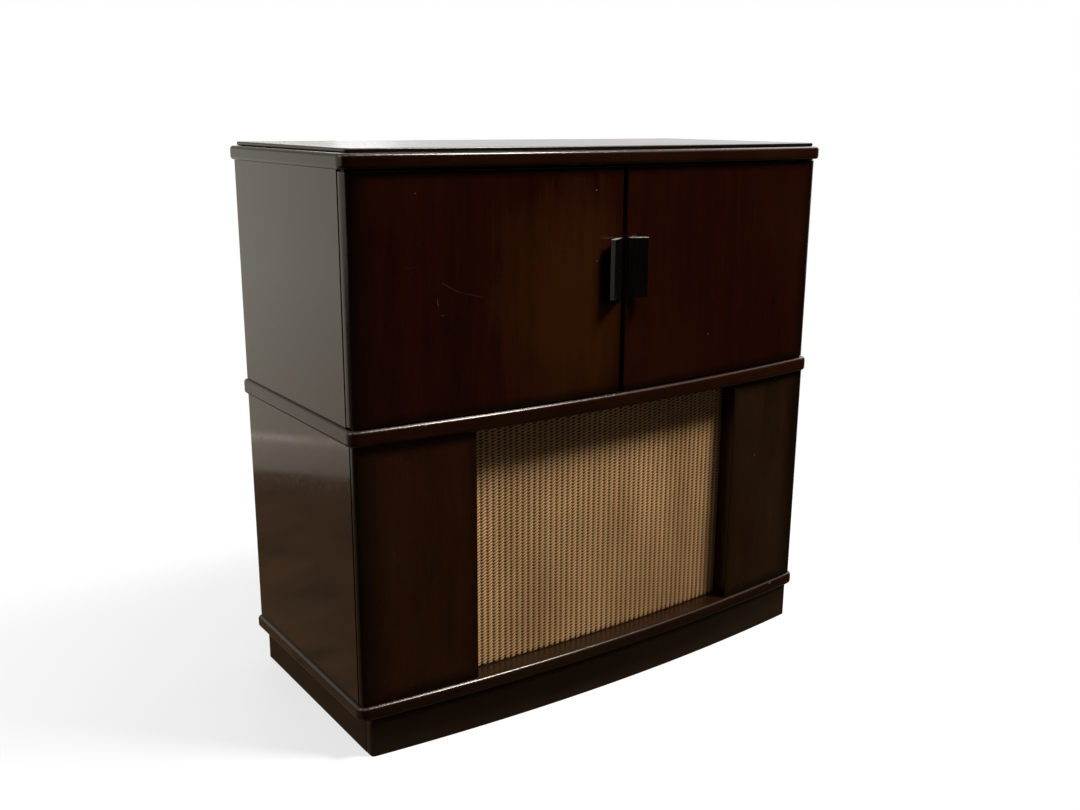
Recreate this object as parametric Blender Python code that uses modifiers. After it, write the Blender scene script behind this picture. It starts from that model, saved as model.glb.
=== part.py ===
"""Bow-fronted gramophone cabinet with doors, turntable deck, amplifier, record rack and loudspeaker.

Metres, +Z up. The front faces -Y. The origin is on the floor, at the middle of the footprint.
"""

import math

import bmesh
import bpy
from mathutils import Matrix, Vector

# Fits between neighbouring pieces
FIT = 0.0003
RUNNING_FIT = 0.0005

# Case
CASE_WIDTH = 1.000
CASE_DEPTH = 0.4285
CASE_HEIGHT = 0.9773
FRONT_BOW = 0.0305
BOARD_OVERHANG = 0.0065
BOARD_CORNER = 0.019
BOARD_EDGE_ROUND = 0.006
PLINTH_HEIGHT = 0.068
PLINTH_THICKNESS = 0.020
PLINTH_SIDE_SETBACK = 0.019
PLINTH_FRONT_SETBACK = 0.0045
PLINTH_CORNER = 0.008
BASE_THICKNESS = 0.024
LOWER_HEIGHT = 0.439
MIDDLE_THICKNESS = 0.027
TOP_THICKNESS = 0.0235
TOP_PANEL_THICKNESS = 0.0065
TOP_PANEL_INSET = 0.0127
TOP_PANEL_EDGE_ROUND = 0.002
SIDE_THICKNESS = 0.020

# Lower front and grille
LOWER_PANEL_THICKNESS = 0.0123
LOWER_PANEL_GAP = 0.0024
LOWER_PANEL_ROUND = 0.010
LOWER_PANEL_INNER_ROUND = 0.002
GRILLE_OPENING = 0.580
GRILLE_RECESS = 0.034
POST_WIDTH = 0.020
RIB_PITCH = 0.0116
RIB_DEPTH = 0.0022
CLOTH_THICKNESS = 0.0032
BAFFLE_THICKNESS = 0.012

# Loudspeaker
SPEAKER_RADIUS = 0.127
SPEAKER_HOLE_RADIUS = 0.108
SPEAKER_FLANGE = 0.003
SPEAKER_LEDGE = 0.010
SPEAKER_LEDGE_DEPTH = 0.002
SPEAKER_DEPTH = 0.080
SPEAKER_WALL = 0.003
SPEAKER_BACK_RADIUS = 0.046
SPEAKER_WINDOW = 0.050
CONE_THICKNESS = 0.0012
CONE_ROLL = 0.010
CONE_DEPTH = 0.056
CONE_THROAT_RADIUS = 0.022
MAGNET_RADIUS = 0.050
MAGNET_DEPTH = 0.042

# Doors
DOOR_THICKNESS = 0.0215
DOOR_BACK_GAP = 0.0024
DOOR_MEETING_GAP = 0.009
DOOR_EDGE_ROUND = 0.018
DOOR_MEETING_ROUND = 0.002
DOOR_BACK_ROUND = 0.0025
PIVOT_INSET = 0.008
PIVOT_SETBACK = 0.012
PIVOT_PIN_RADIUS = 0.003
PIVOT_PIN_LENGTH = 0.014
PIVOT_PLATE_THICKNESS = 0.002
PIVOT_PLATE_LENGTH = 0.030
PIVOT_PLATE_WIDTH = 0.010
PIVOT_PLATE_LEAD = 0.0035

# Door handles
HANDLE_INSET = 0.0065
HANDLE_FACE = 0.0295
HANDLE_END = 0.0098
HANDLE_LIP = 0.006
HANDLE_HEIGHT = 0.102
HANDLE_DROP = 0.1205
HANDLE_STANDOFF = 0.021
HANDLE_ROOT_HEIGHT = 0.0025
HANDLE_FOOT = 0.012
HANDLE_EDGE_ROUND = 0.0015

# Backs
BACK_RECESS = 0.004
BACK_THICKNESS = 0.005
VENT_LENGTH = 0.120
VENT_HEIGHT = 0.007
VENT_PITCH = 0.020
VENT_ROWS = 5
VENT_OFFSET = 0.200

# Upper compartment
PARTITION_THICKNESS = 0.016
CATCH_WIDTH = 0.040
CATCH_DEPTH = 0.012
CATCH_HEIGHT = 0.018
CATCH_DROP = 0.045
ROLLER_RADIUS = 0.004
ROLLER_MARGIN = 0.002
FASCIA_SETBACK = 0.055
FASCIA_THICKNESS = 0.012
FASCIA_HEIGHT = 0.150
RAIL_THICKNESS = 0.018
RAIL_HEIGHT = 0.040
MOTOR_BOARD_THICKNESS = 0.014

# Turntable
PLATTER_RADIUS = 0.146
PLATTER_RIM = 0.007
PLATTER_HEIGHT = 0.024
PLATTER_PLATE = 0.004
PLATTER_RIM_GAP = 0.006
PLATTER_CHAMFER = 0.002
HUB_RADIUS = 0.016
MAT_THICKNESS = 0.0025
MAT_MARGIN = 0.003
MAT_HOLE_RADIUS = 0.010
SPINDLE_RADIUS = 0.005
SPINDLE_PIN_RADIUS = 0.0036
SPINDLE_TIP_RADIUS = 0.002
SPINDLE_PIN_LENGTH = 0.014
SPINDLE_FLANGE_RADIUS = 0.018
SPINDLE_FLANGE = 0.004
SPINDLE_TAIL = 0.012
IDLER_RADIUS = 0.018
IDLER_THICKNESS = 0.008
IDLER_HUB_RADIUS = 0.006
IDLER_PIN_RADIUS = 0.003
IDLER_LIFT = 0.009
DRIVE_ANGLE = math.radians(225)
PULLEY_RADIUS = 0.008
PULLEY_HEIGHT = 0.012
PULLEY_OVERLAP = 0.002
SHAFT_RADIUS = 0.003
SHAFT_ENGAGEMENT = 0.020
MOTOR_RADIUS = 0.038
MOTOR_HEIGHT = 0.058
MOTOR_NECK_RADIUS = 0.014
MOTOR_NECK = 0.006

# Tonearm
ARM_PIVOT_X = 0.218
ARM_PIVOT_Y = 0.108
ARM_LENGTH = 0.262
ARM_RADIUS = 0.005
TRUNNION_RADIUS = 0.0035
ARM_HEIGHT = 0.044
ARM_TAIL = 0.050
WEIGHT_RADIUS = 0.012
WEIGHT_LENGTH = 0.026
PILLAR_RADIUS = 0.022
PILLAR_FLANGE = 0.005
PILLAR_CHAMFER = 0.002
PILLAR_TAIL_RADIUS = 0.0065
PILLAR_NECK_RADIUS = 0.013
PILLAR_HEIGHT = 0.024
YOKE_RADIUS = 0.015
YOKE_FLOOR = 0.004
YOKE_CHEEK = 0.0035
YOKE_GAP = 0.018
YOKE_STUB_RADIUS = 0.004
YOKE_STUB = 0.012
HEAD_LENGTH = 0.042
HEAD_WIDTH = 0.020
HEAD_HEIGHT = 0.014
NEEDLE_LENGTH = 0.006
NEEDLE_RADIUS = 0.0012
REST_REACH = 0.160
REST_RADIUS = 0.006
REST_FOOT_RADIUS = 0.010
REST_FOOT = 0.004
REST_SADDLE = 0.020

# Controls
CONTROL_PITCH = 0.075
KNOB_RADIUS = 0.018
KNOB_FACE_RADIUS = 0.0145
KNOB_DEPTH = 0.020
KNOB_CHAMFER = 0.002
KNOB_SHAFT_RADIUS = 0.003
KNOB_GAP = 0.0008
CONTROL_HEIGHT = 0.075
SWITCH_BALL_RADIUS = 0.005
SWITCH_ROD_RADIUS = 0.002
SWITCH_TIP_RADIUS = 0.0032
SWITCH_LENGTH = 0.017
SWITCH_TILT = math.radians(15)
LEVER_X = 0.150
LEVER_SETBACK = 0.0371
LEVER_BOSS_RADIUS = 0.009
LEVER_BOSS_HEIGHT = 0.008
LEVER_LENGTH = 0.034
LEVER_WIDTH = 0.008
LEVER_THICKNESS = 0.004

# Amplifier
CHASSIS_WIDTH = 0.250
CHASSIS_DEPTH = 0.140
CHASSIS_HEIGHT = 0.046
CHASSIS_WALL = 0.002
CHASSIS_FRONT_HEIGHT = 0.105
CHASSIS_SETBACK = 0.012
CHASSIS_MARGIN = 0.034
TRANSFORMER_WIDTH = 0.070
TRANSFORMER_DEPTH = 0.058
TRANSFORMER_HEIGHT = 0.066
TRANSFORMER_EDGE = 0.008
VALVE_RADIUS = 0.011
VALVE_HEIGHT = 0.066
VALVE_BASE = 0.012
VALVE_BASE_RADIUS = 0.013
VALVE_TIP_RADIUS = 0.0035
VALVE_PITCH = 0.058
INLET_WIDTH = 0.040
INLET_HEIGHT = 0.026
INLET_DEPTH = 0.020
INLET_FLANGE = 0.003
INLET_LIP = 0.005
INLET_SOCKET = 0.010
INLET_SOCKET_WALL = 0.005
INLET_RISE = 0.030

# Record rack
SHELF_DROP = 0.064
SHELF_THICKNESS = 0.010
DIVIDER_THICKNESS = 0.006
DIVIDERS = 2

# Roundness of the mesh
BOW_STEPS = 16
ROUND_STEP = math.radians(22.5)
EDGE_SEGMENTS = 2
LARGE_TURN_STEPS = 48
TURN_STEPS = 24
SMALL_TURN_STEPS = 16
BALL_RINGS = 6
HOLLOW_STEPS = 5
RIB_STEPS = 4

# Levels, from the floor up
BASE_Z = PLINTH_HEIGHT
LOWER_Z = BASE_Z + BASE_THICKNESS
MIDDLE_Z = LOWER_Z + LOWER_HEIGHT
UPPER_Z = MIDDLE_Z + MIDDLE_THICKNESS
PANEL_Z = CASE_HEIGHT - TOP_PANEL_THICKNESS - FIT
TOP_Z = PANEL_Z - TOP_THICKNESS

# Plan positions
HALF_WIDTH = CASE_WIDTH / 2
INNER_X = HALF_WIDTH - SIDE_THICKNESS
FRONT_Y = -(CASE_DEPTH - FRONT_BOW - max(HANDLE_STANDOFF, BOARD_OVERHANG)) / 2
BACK_Y = FRONT_Y + CASE_DEPTH
APEX_Y = FRONT_Y - FRONT_BOW
BOW_RADIUS = (HALF_WIDTH ** 2 + FRONT_BOW ** 2) / (2 * FRONT_BOW)
BOW_CENTRE_Y = APEX_Y + BOW_RADIUS
BACK_FACE_Y = BACK_Y - BACK_RECESS - BACK_THICKNESS
DOOR_END_GAP = PIVOT_PLATE_THICKNESS + 2 * FIT
BAY_LEFT = -INNER_X + FIT
BAY_RIGHT = -PARTITION_THICKNESS / 2 - FIT
FASCIA_Y = FRONT_Y + FASCIA_SETBACK
DECK_Z = UPPER_Z + FASCIA_HEIGHT + FIT + MOTOR_BOARD_THICKNESS
DECK_BACK_Y = BACK_FACE_Y - FIT
DECK_SPAN = PLATTER_RADIUS + ARM_PIVOT_X + PILLAR_RADIUS
SPINDLE_X = (BAY_LEFT + BAY_RIGHT - DECK_SPAN) / 2 + PLATTER_RADIUS
SPINDLE_Y = (FASCIA_Y + DECK_BACK_Y) / 2
ARM_X = SPINDLE_X + ARM_PIVOT_X
ARM_Y = SPINDLE_Y + ARM_PIVOT_Y

# Finishes: colour, roughness, metallic
MAHOGANY = ((0.050, 0.016, 0.010), 0.22, 0.0)
DARK_MAHOGANY = ((0.030, 0.014, 0.010), 0.35, 0.0)
PALE_PLYWOOD = ((0.420, 0.270, 0.140), 0.60, 0.0)
INNER_VENEER = ((0.200, 0.080, 0.035), 0.45, 0.0)
HARDBOARD = ((0.160, 0.085, 0.045), 0.80, 0.0)
BLACK_BAKELITE = ((0.010, 0.010, 0.010), 0.15, 0.0)
GRILLE_WEAVE = ((0.480, 0.340, 0.190), 0.85, 0.0)
PAPER_CONE = ((0.030, 0.028, 0.026), 0.90, 0.0)
STEEL = ((0.420, 0.420, 0.410), 0.40, 1.0)
PAINTED_STEEL = ((0.060, 0.060, 0.062), 0.50, 0.2)
BRASS = ((0.600, 0.440, 0.180), 0.30, 1.0)
RUBBER = ((0.020, 0.020, 0.020), 0.85, 0.0)
CREAM_ENAMEL = ((0.560, 0.500, 0.380), 0.35, 0.0)
GLASS = ((0.700, 0.720, 0.720), 0.08, 0.0)

for old in list(bpy.data.objects):
    bpy.data.objects.remove(old, do_unlink=True)

PARTS = bpy.data.collections.new("gramophone_cabinet")
CUTTERS = bpy.data.collections.new("cutters")
for group in (PARTS, CUTTERS):
    bpy.context.scene.collection.children.link(group)


def new_part(name, mesh, finish):
    """Puts a mesh in the cabinet as one named piece with its own material."""
    piece = bpy.data.objects.new(name, mesh)
    PARTS.objects.link(piece)
    colour, roughness, metallic = finish
    material = bpy.data.materials.new(name)
    material.use_nodes = True
    shader = material.node_tree.nodes["Principled BSDF"]
    shader.inputs["Base Color"].default_value = (*colour, 1.0)
    shader.inputs["Roughness"].default_value = roughness
    shader.inputs["Metallic"].default_value = metallic
    mesh.materials.append(material)
    return piece


def new_cutter(name, mesh):
    """Puts a mesh among the hidden shapes that cut or extend the pieces."""
    cutter = bpy.data.objects.new(name, mesh)
    CUTTERS.objects.link(cutter)
    cutter.hide_render = True
    cutter.display_type = "WIRE"
    return cutter


def combine(piece, mesh, operation):
    """Cuts a mesh out of a piece, or joins it to the piece."""
    other = new_cutter(f"{piece.name}_{operation.lower()}_{len(piece.modifiers)}", mesh)
    boolean = piece.modifiers.new(other.name, "BOOLEAN")
    boolean.operation = operation
    boolean.solver = "EXACT"
    boolean.object = other


def cut(piece, *meshes):
    for mesh in meshes:
        combine(piece, mesh, "DIFFERENCE")


def join(piece, *meshes):
    for mesh in meshes:
        combine(piece, mesh, "UNION")


def set_origin(piece, point):
    """Moves a piece's origin to a point, such as one on its joint's axis, with its shape left in place."""
    piece.data.transform(Matrix.Translation(-Vector(point)))
    piece.location = point


def attach(child, parent):
    """Parents a piece to another with both left in place."""
    bpy.context.view_layer.update()
    child.parent = parent
    child.matrix_parent_inverse = parent.matrix_world.inverted()


def mesh_from(name, shape):
    """Stores a bmesh as a new mesh."""
    mesh = bpy.data.meshes.new(name)
    shape.to_mesh(mesh)
    shape.free()
    return mesh


def box(name, low, high):
    """A block between two corners."""
    low, high = Vector(low), Vector(high)
    shape = bmesh.new()
    place = Matrix.Translation((low + high) / 2) @ Matrix.Diagonal((*(high - low), 1.0))
    bmesh.ops.create_cube(shape, size=1.0, matrix=place)
    return mesh_from(name, shape)


def rod(name, start, end, radius, sides=SMALL_TURN_STEPS):
    """A round bar between two points."""
    start, end = Vector(start), Vector(end)
    along = end - start
    place = Matrix.Translation((start + end) / 2) @ along.to_track_quat("Z", "Y").to_matrix().to_4x4()
    shape = bmesh.new()
    bmesh.ops.create_cone(
        shape,
        cap_ends=True,
        segments=sides,
        radius1=radius,
        radius2=radius,
        depth=along.length,
        matrix=place,
    )
    return mesh_from(name, shape)


def ball(name, centre, radius):
    """A small sphere."""
    shape = bmesh.new()
    place = Matrix.Translation(Vector(centre))
    bmesh.ops.create_uvsphere(
        shape, u_segments=2 * BALL_RINGS, v_segments=BALL_RINGS, radius=radius, matrix=place
    )
    return mesh_from(name, shape)


def extruded(name, outline, low, high):
    """A flat plan outline raised from one height to another."""
    curve = bpy.data.curves.new(name, "CURVE")
    curve.dimensions = "2D"
    curve.fill_mode = "BOTH"
    curve.extrude = (high - low) / 2
    spline = curve.splines.new("POLY")
    spline.points.add(len(outline) - 1)
    for point, (x, y) in zip(spline.points, outline):
        point.co = (x, y, 0.0, 1.0)
    spline.use_cyclic_u = True
    flat = bpy.data.objects.new(name, curve)
    bpy.context.scene.collection.objects.link(flat)
    mesh = bpy.data.meshes.new_from_object(flat.evaluated_get(bpy.context.evaluated_depsgraph_get()))
    bpy.data.objects.remove(flat)
    mesh.transform(Matrix.Translation((0.0, 0.0, (low + high) / 2)))
    shape = bmesh.new()
    shape.from_mesh(mesh)
    bmesh.ops.remove_doubles(shape, verts=shape.verts, dist=FIT / 10)
    bmesh.ops.dissolve_limit(shape, angle_limit=math.radians(0.02), verts=shape.verts, edges=shape.edges)
    bmesh.ops.recalc_face_normals(shape, faces=shape.faces)
    shape.to_mesh(mesh)
    shape.free()
    mesh.name = name
    return mesh


def round_rims(mesh, radius, segments=1, keep_back=False):
    """Rounds the top and bottom rims of an extruded outline, leaving its back edge square if asked."""
    shape = bmesh.new()
    shape.from_mesh(mesh)
    back = max(vertex.co.y for vertex in shape.verts)
    rims = []
    for edge in shape.edges:
        first, second = (vertex.co for vertex in edge.verts)
        level = abs(first.z - second.z) < FIT
        at_back = min(first.y, second.y) > back - FIT
        if level and not (keep_back and at_back):
            rims.append(edge)
    bmesh.ops.bevel(
        shape, geom=rims, offset=radius, segments=segments, profile=0.5, affect="EDGES", clamp_overlap=True
    )
    shape.to_mesh(mesh)
    shape.free()


def turned(name, profile, finish, place, upright=True, steps=TURN_STEPS):
    """A turned piece from a radius and height profile, standing, or lying with its top towards the back."""
    mesh = bpy.data.meshes.new(name)
    count = len(profile)
    edges = [(i, i + 1) for i in range(count - 1)]
    if profile[0][0] > 0.0:
        edges.append((count - 1, 0))
    mesh.from_pydata([(radius, 0.0, height) for radius, height in profile], edges, [])
    piece = new_part(name, mesh, finish)
    piece.location = place
    if not upright:
        piece.rotation_euler = (-math.pi / 2, 0.0, 0.0)
    screw = piece.modifiers.new("turning", "SCREW")
    screw.steps = screw.render_steps = steps
    screw.use_merge_vertices = True
    screw.merge_threshold = FIT / 10
    return piece


def round_points(centre, radius, start, end):
    """Points round an arc, or the one corner point where the radius is nothing."""
    count = math.ceil(abs(end - start) / ROUND_STEP) if radius > 0.0 else 0
    angles = [start + (end - start) * i / max(count, 1) for i in range(count + 1)]
    return [(centre[0] + radius * math.cos(a), centre[1] + radius * math.sin(a)) for a in angles]


def bow_y(x, outward=0.0):
    """Depth of the bowed front at x, moved outwards by a distance."""
    return BOW_CENTRE_Y - math.sqrt((BOW_RADIUS + outward) ** 2 - x * x)


def bow_turn(x, radius):
    """Angle at the bow's centre of the point at x on an arc of this radius."""
    return math.asin(x / radius) - math.pi / 2


def bow_arc(radius, start, end):
    """Inner points of a stretch of the bow, without its ends."""
    share = abs(end - start) * radius / CASE_WIDTH
    steps = max(2, round(BOW_STEPS * share))
    angles = [start + (end - start) * i / steps for i in range(1, steps)]
    return [(radius * math.cos(a), BOW_CENTRE_Y + radius * math.sin(a)) for a in angles]


def bowed_front(left, right, outward, left_round, right_round):
    """The bowed front edge from left to right, with its two ends rounded."""
    radius = BOW_RADIUS + outward
    left_turn = bow_turn(left + left_round, radius - left_round)
    right_turn = bow_turn(right - right_round, radius - right_round)
    left_centre = (left + left_round, bow_y(left + left_round, outward - left_round))
    right_centre = (right - right_round, bow_y(right - right_round, outward - right_round))
    points = round_points(left_centre, left_round, -math.pi, left_turn)
    points += bow_arc(radius, left_turn, right_turn)
    return points + round_points(right_centre, right_round, right_turn, 0.0)


def bowed_back(left, right, outward, left_round, right_round):
    """The hollow back edge of a bowed strip, from right to left, with its two ends rounded."""
    radius = BOW_RADIUS + outward
    left_turn = bow_turn(left + left_round, radius + left_round)
    right_turn = bow_turn(right - right_round, radius + right_round)
    left_centre = (left + left_round, bow_y(left + left_round, outward + left_round))
    right_centre = (right - right_round, bow_y(right - right_round, outward + right_round))
    points = round_points(right_centre, right_round, 0.0, right_turn + math.pi)
    points += bow_arc(radius, right_turn, left_turn)
    return points + round_points(left_centre, left_round, left_turn + math.pi, math.pi)


def bowed_strip(left, right, outward, thickness, front_rounds=(0.0, 0.0), back_rounds=(0.0, 0.0)):
    """Plan outline of a board bent to the bow of the front."""
    front = bowed_front(left, right, outward, *front_rounds)
    return front + bowed_back(left, right, outward - thickness, *back_rounds)


def board_outline(overhang, corner):
    """Plan outline of a whole board: bowed front with round corners, straight sides and back."""
    half = HALF_WIDTH + overhang
    return bowed_front(-half, half, overhang, corner, corner) + [(half, BACK_Y), (-half, BACK_Y)]


def mirrored(outline):
    """The same outline on the other side of the middle."""
    return [(-x, y) for x, y in reversed(outline)]


def build_plinth():
    """Four plinth boards: a bowed front, two sides behind it and a back between the sides."""
    half = HALF_WIDTH + BOARD_OVERHANG - PLINTH_SIDE_SETBACK
    outward = BOARD_OVERHANG - PLINTH_FRONT_SETBACK
    top = PLINTH_HEIGHT - FIT
    front = bowed_strip(-half, half, outward, PLINTH_THICKNESS, (PLINTH_CORNER, PLINTH_CORNER))
    new_part("plinth_front", extruded("plinth_front", front, 0.0, top), DARK_MAHOGANY)
    inner = half - PLINTH_THICKNESS
    behind = outward - PLINTH_THICKNESS - FIT
    side = [(-half, bow_y(half, behind)), (-inner, bow_y(inner, behind)), (-inner, BACK_Y), (-half, BACK_Y)]
    new_part("plinth_left", extruded("plinth_left", side, 0.0, top), DARK_MAHOGANY)
    new_part("plinth_right", extruded("plinth_right", mirrored(side), 0.0, top), DARK_MAHOGANY)
    reach = inner - FIT
    back = box("plinth_back", (-reach, BACK_Y - PLINTH_THICKNESS, 0.0), (reach, BACK_Y, top))
    new_part("plinth_back", back, DARK_MAHOGANY)


def build_boards():
    """Base, middle and top boards with rounded edges, and the thin raised panel on the top."""
    levels = {
        "base_board": (BASE_Z, LOWER_Z),
        "middle_board": (MIDDLE_Z, UPPER_Z),
        "top_board": (TOP_Z, PANEL_Z),
    }
    for name, (low, high) in levels.items():
        mesh = extruded(name, board_outline(BOARD_OVERHANG, BOARD_CORNER), low, high)
        round_rims(mesh, BOARD_EDGE_ROUND, EDGE_SEGMENTS, keep_back=True)
        new_part(name, mesh, MAHOGANY)
    outline = board_outline(BOARD_OVERHANG - TOP_PANEL_INSET, BOARD_CORNER - TOP_PANEL_INSET)
    panel = extruded("top_panel", outline, PANEL_Z + FIT, PANEL_Z + FIT + TOP_PANEL_THICKNESS)
    round_rims(panel, TOP_PANEL_EDGE_ROUND, keep_back=True)
    new_part("top_panel", panel, MAHOGANY)


def build_sides():
    """Side panels of the lower and upper case, set back behind the front panels and the doors."""
    stages = {
        "lower_side": (FRONT_Y + LOWER_PANEL_THICKNESS + LOWER_PANEL_GAP, LOWER_Z + FIT, MIDDLE_Z - FIT),
        "upper_side": (FRONT_Y + DOOR_THICKNESS + DOOR_BACK_GAP, UPPER_Z + FIT, TOP_Z - FIT),
    }
    for name, (front, low, high) in stages.items():
        left = box(f"{name}_left", (-HALF_WIDTH, front, low), (-INNER_X, BACK_Y, high))
        right = box(f"{name}_right", (INNER_X, front, low), (HALF_WIDTH, BACK_Y, high))
        new_part(f"{name}_left", left, MAHOGANY)
        new_part(f"{name}_right", right, MAHOGANY)


def build_lower_front():
    """Fixed bowed panels beside the grille, with posts behind their inner edges that close the recess."""
    low, high = LOWER_Z + FIT, MIDDLE_Z - FIT
    opening = GRILLE_OPENING / 2
    panel = bowed_strip(
        -HALF_WIDTH, -opening, 0.0, LOWER_PANEL_THICKNESS, (LOWER_PANEL_ROUND, LOWER_PANEL_INNER_ROUND)
    )
    behind = LOWER_PANEL_THICKNESS + FIT
    post = bowed_strip(-opening - POST_WIDTH, -opening, -behind, GRILLE_RECESS - behind - FIT)
    for side, shape in (("left", lambda points: points), ("right", mirrored)):
        new_part(f"lower_front_{side}", extruded(f"lower_front_{side}", shape(panel), low, high), MAHOGANY)
        new_part(f"grille_post_{side}", extruded(f"grille_post_{side}", shape(post), low, high), MAHOGANY)


def build_grille():
    """Ribbed loudspeaker cloth stretched on a bowed baffle board."""
    low, high = LOWER_Z + FIT, MIDDLE_Z - FIT
    half = GRILLE_OPENING / 2 + POST_WIDTH
    steps = round(2 * half / RIB_PITCH) * RIB_STEPS
    ribs = []
    for i in range(steps + 1):
        x = -half + 2 * half * i / steps
        valley = 1.0 - abs(math.cos(math.pi * i / RIB_STEPS))
        ribs.append((x, bow_y(x, -GRILLE_RECESS - RIB_DEPTH * valley)))
    cloth = ribs + bowed_back(-half, half, -GRILLE_RECESS - CLOTH_THICKNESS, 0.0, 0.0)
    new_part("grille_cloth", extruded("grille_cloth", cloth, low, high), GRILLE_WEAVE)
    behind = GRILLE_RECESS + CLOTH_THICKNESS + FIT
    baffle = new_part(
        "baffle_board",
        extruded("baffle_board", bowed_strip(-half, half, -behind, BAFFLE_THICKNESS), low, high),
        PALE_PLYWOOD,
    )
    middle = (LOWER_Z + MIDDLE_Z) / 2
    front, back = (0, APEX_Y, middle), (0, BACK_Y, middle)
    cut(baffle, rod("speaker_hole", front, back, SPEAKER_HOLE_RADIUS, TURN_STEPS))


def build_loudspeaker():
    """Cone loudspeaker behind the baffle: a pressed basket, a paper cone and a magnet pot."""
    behind = GRILLE_RECESS + CLOTH_THICKNESS + FIT + BAFFLE_THICKNESS
    front = bow_y(SPEAKER_RADIUS, -behind) + FIT
    middle = (LOWER_Z + MIDDLE_Z) / 2
    place = (0.0, front, middle)
    mouth = SPEAKER_RADIUS - SPEAKER_LEDGE
    seat = mouth - SPEAKER_LEDGE
    basket = turned(
        "speaker_basket",
        [
            (SPEAKER_BACK_RADIUS, SPEAKER_DEPTH),
            (mouth, SPEAKER_FLANGE + SPEAKER_LEDGE_DEPTH),
            (SPEAKER_RADIUS, SPEAKER_FLANGE),
            (SPEAKER_RADIUS, 0.0),
            (mouth, 0.0),
            (mouth, SPEAKER_LEDGE_DEPTH),
            (seat, SPEAKER_LEDGE_DEPTH),
            (seat, SPEAKER_FLANGE + SPEAKER_LEDGE_DEPTH),
            (SPEAKER_BACK_RADIUS - SPEAKER_WALL, SPEAKER_DEPTH - SPEAKER_WALL),
            (CONE_THROAT_RADIUS + SPEAKER_WALL, SPEAKER_DEPTH - SPEAKER_WALL),
            (CONE_THROAT_RADIUS + SPEAKER_WALL, SPEAKER_DEPTH),
        ],
        PAINTED_STEEL,
        place,
        upright=False,
    )
    wide, tall = SPEAKER_RADIUS, SPEAKER_WINDOW / 2
    window_front = front + SPEAKER_FLANGE + 2 * SPEAKER_LEDGE
    window_back = front + SPEAKER_DEPTH - SPEAKER_LEDGE
    level = box("window_level", (-wide, window_front, middle - tall), (wide, window_back, middle + tall))
    upright = box(
        "window_upright", (-tall, window_front, middle - wide), (tall, window_back, middle + wide)
    )
    cut(basket, level, upright)
    rim_back = SPEAKER_LEDGE_DEPTH - FIT
    rim_front = rim_back - CONE_THICKNESS
    rim = mouth - FIT
    roll = rim - CONE_ROLL
    turned(
        "speaker_cone",
        [
            (0.0, CONE_DEPTH),
            (CONE_THROAT_RADIUS, CONE_DEPTH),
            (roll - CONE_THICKNESS, rim_back),
            (rim, rim_back),
            (rim, rim_front),
            (roll, rim_front),
            (CONE_THROAT_RADIUS - CONE_THICKNESS, CONE_DEPTH - CONE_THICKNESS),
            (0.0, CONE_DEPTH - CONE_THROAT_RADIUS / 2),
        ],
        PAPER_CONE,
        place,
        upright=False,
    )
    turned(
        "speaker_magnet",
        [
            (0.0, SPEAKER_DEPTH + FIT + MAGNET_DEPTH),
            (MAGNET_RADIUS - SPEAKER_WALL, SPEAKER_DEPTH + FIT + MAGNET_DEPTH),
            (MAGNET_RADIUS, SPEAKER_DEPTH + FIT + MAGNET_DEPTH - SPEAKER_WALL),
            (MAGNET_RADIUS, SPEAKER_DEPTH + FIT),
            (0.0, SPEAKER_DEPTH + FIT),
        ],
        PAINTED_STEEL,
        place,
        upright=False,
    )


def build_backs():
    """Vented hardboard backs, set in flush between the sides; the upper one is cut for the mains inlet."""
    stages = {"lower_back_panel": (LOWER_Z, MIDDLE_Z), "upper_back_panel": (UPPER_Z, TOP_Z)}
    panels = {}
    for name, (floor, ceiling) in stages.items():
        low = (-INNER_X + FIT, BACK_FACE_Y, floor + FIT)
        high = (INNER_X - FIT, BACK_FACE_Y + BACK_THICKNESS, ceiling - FIT)
        panel = new_part(name, box(name, low, high), HARDBOARD)
        panels[name] = panel
        first = (floor + ceiling) / 2 - VENT_PITCH * (VENT_ROWS - 1) / 2
        for side in (-1, 1):
            for row in range(VENT_ROWS):
                x, z = side * VENT_OFFSET, first + VENT_PITCH * row
                reach = Vector((VENT_LENGTH / 2, BACK_THICKNESS, VENT_HEIGHT / 2))
                centre = Vector((x, BACK_FACE_Y + BACK_THICKNESS / 2, z))
                cut(panel, box("vent", centre - reach, centre + reach))
    x, z = inlet_centre()
    reach = Vector((INLET_WIDTH / 2 + FIT, BACK_THICKNESS, INLET_HEIGHT / 2 + FIT))
    centre = Vector((x, BACK_FACE_Y + BACK_THICKNESS / 2, z))
    cut(panels["upper_back_panel"], box("inlet_hole", centre - reach, centre + reach))


def chassis_left():
    """Left end of the amplifier, which is set off from the partition."""
    return BAY_RIGHT - CHASSIS_MARGIN - CHASSIS_WIDTH


def chassis_front():
    return FASCIA_Y + FASCIA_THICKNESS + CHASSIS_SETBACK


def inlet_centre():
    """Place of the mains inlet on the back, behind the amplifier."""
    return chassis_left() + CHASSIS_WIDTH / 2, UPPER_Z + INLET_RISE


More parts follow.
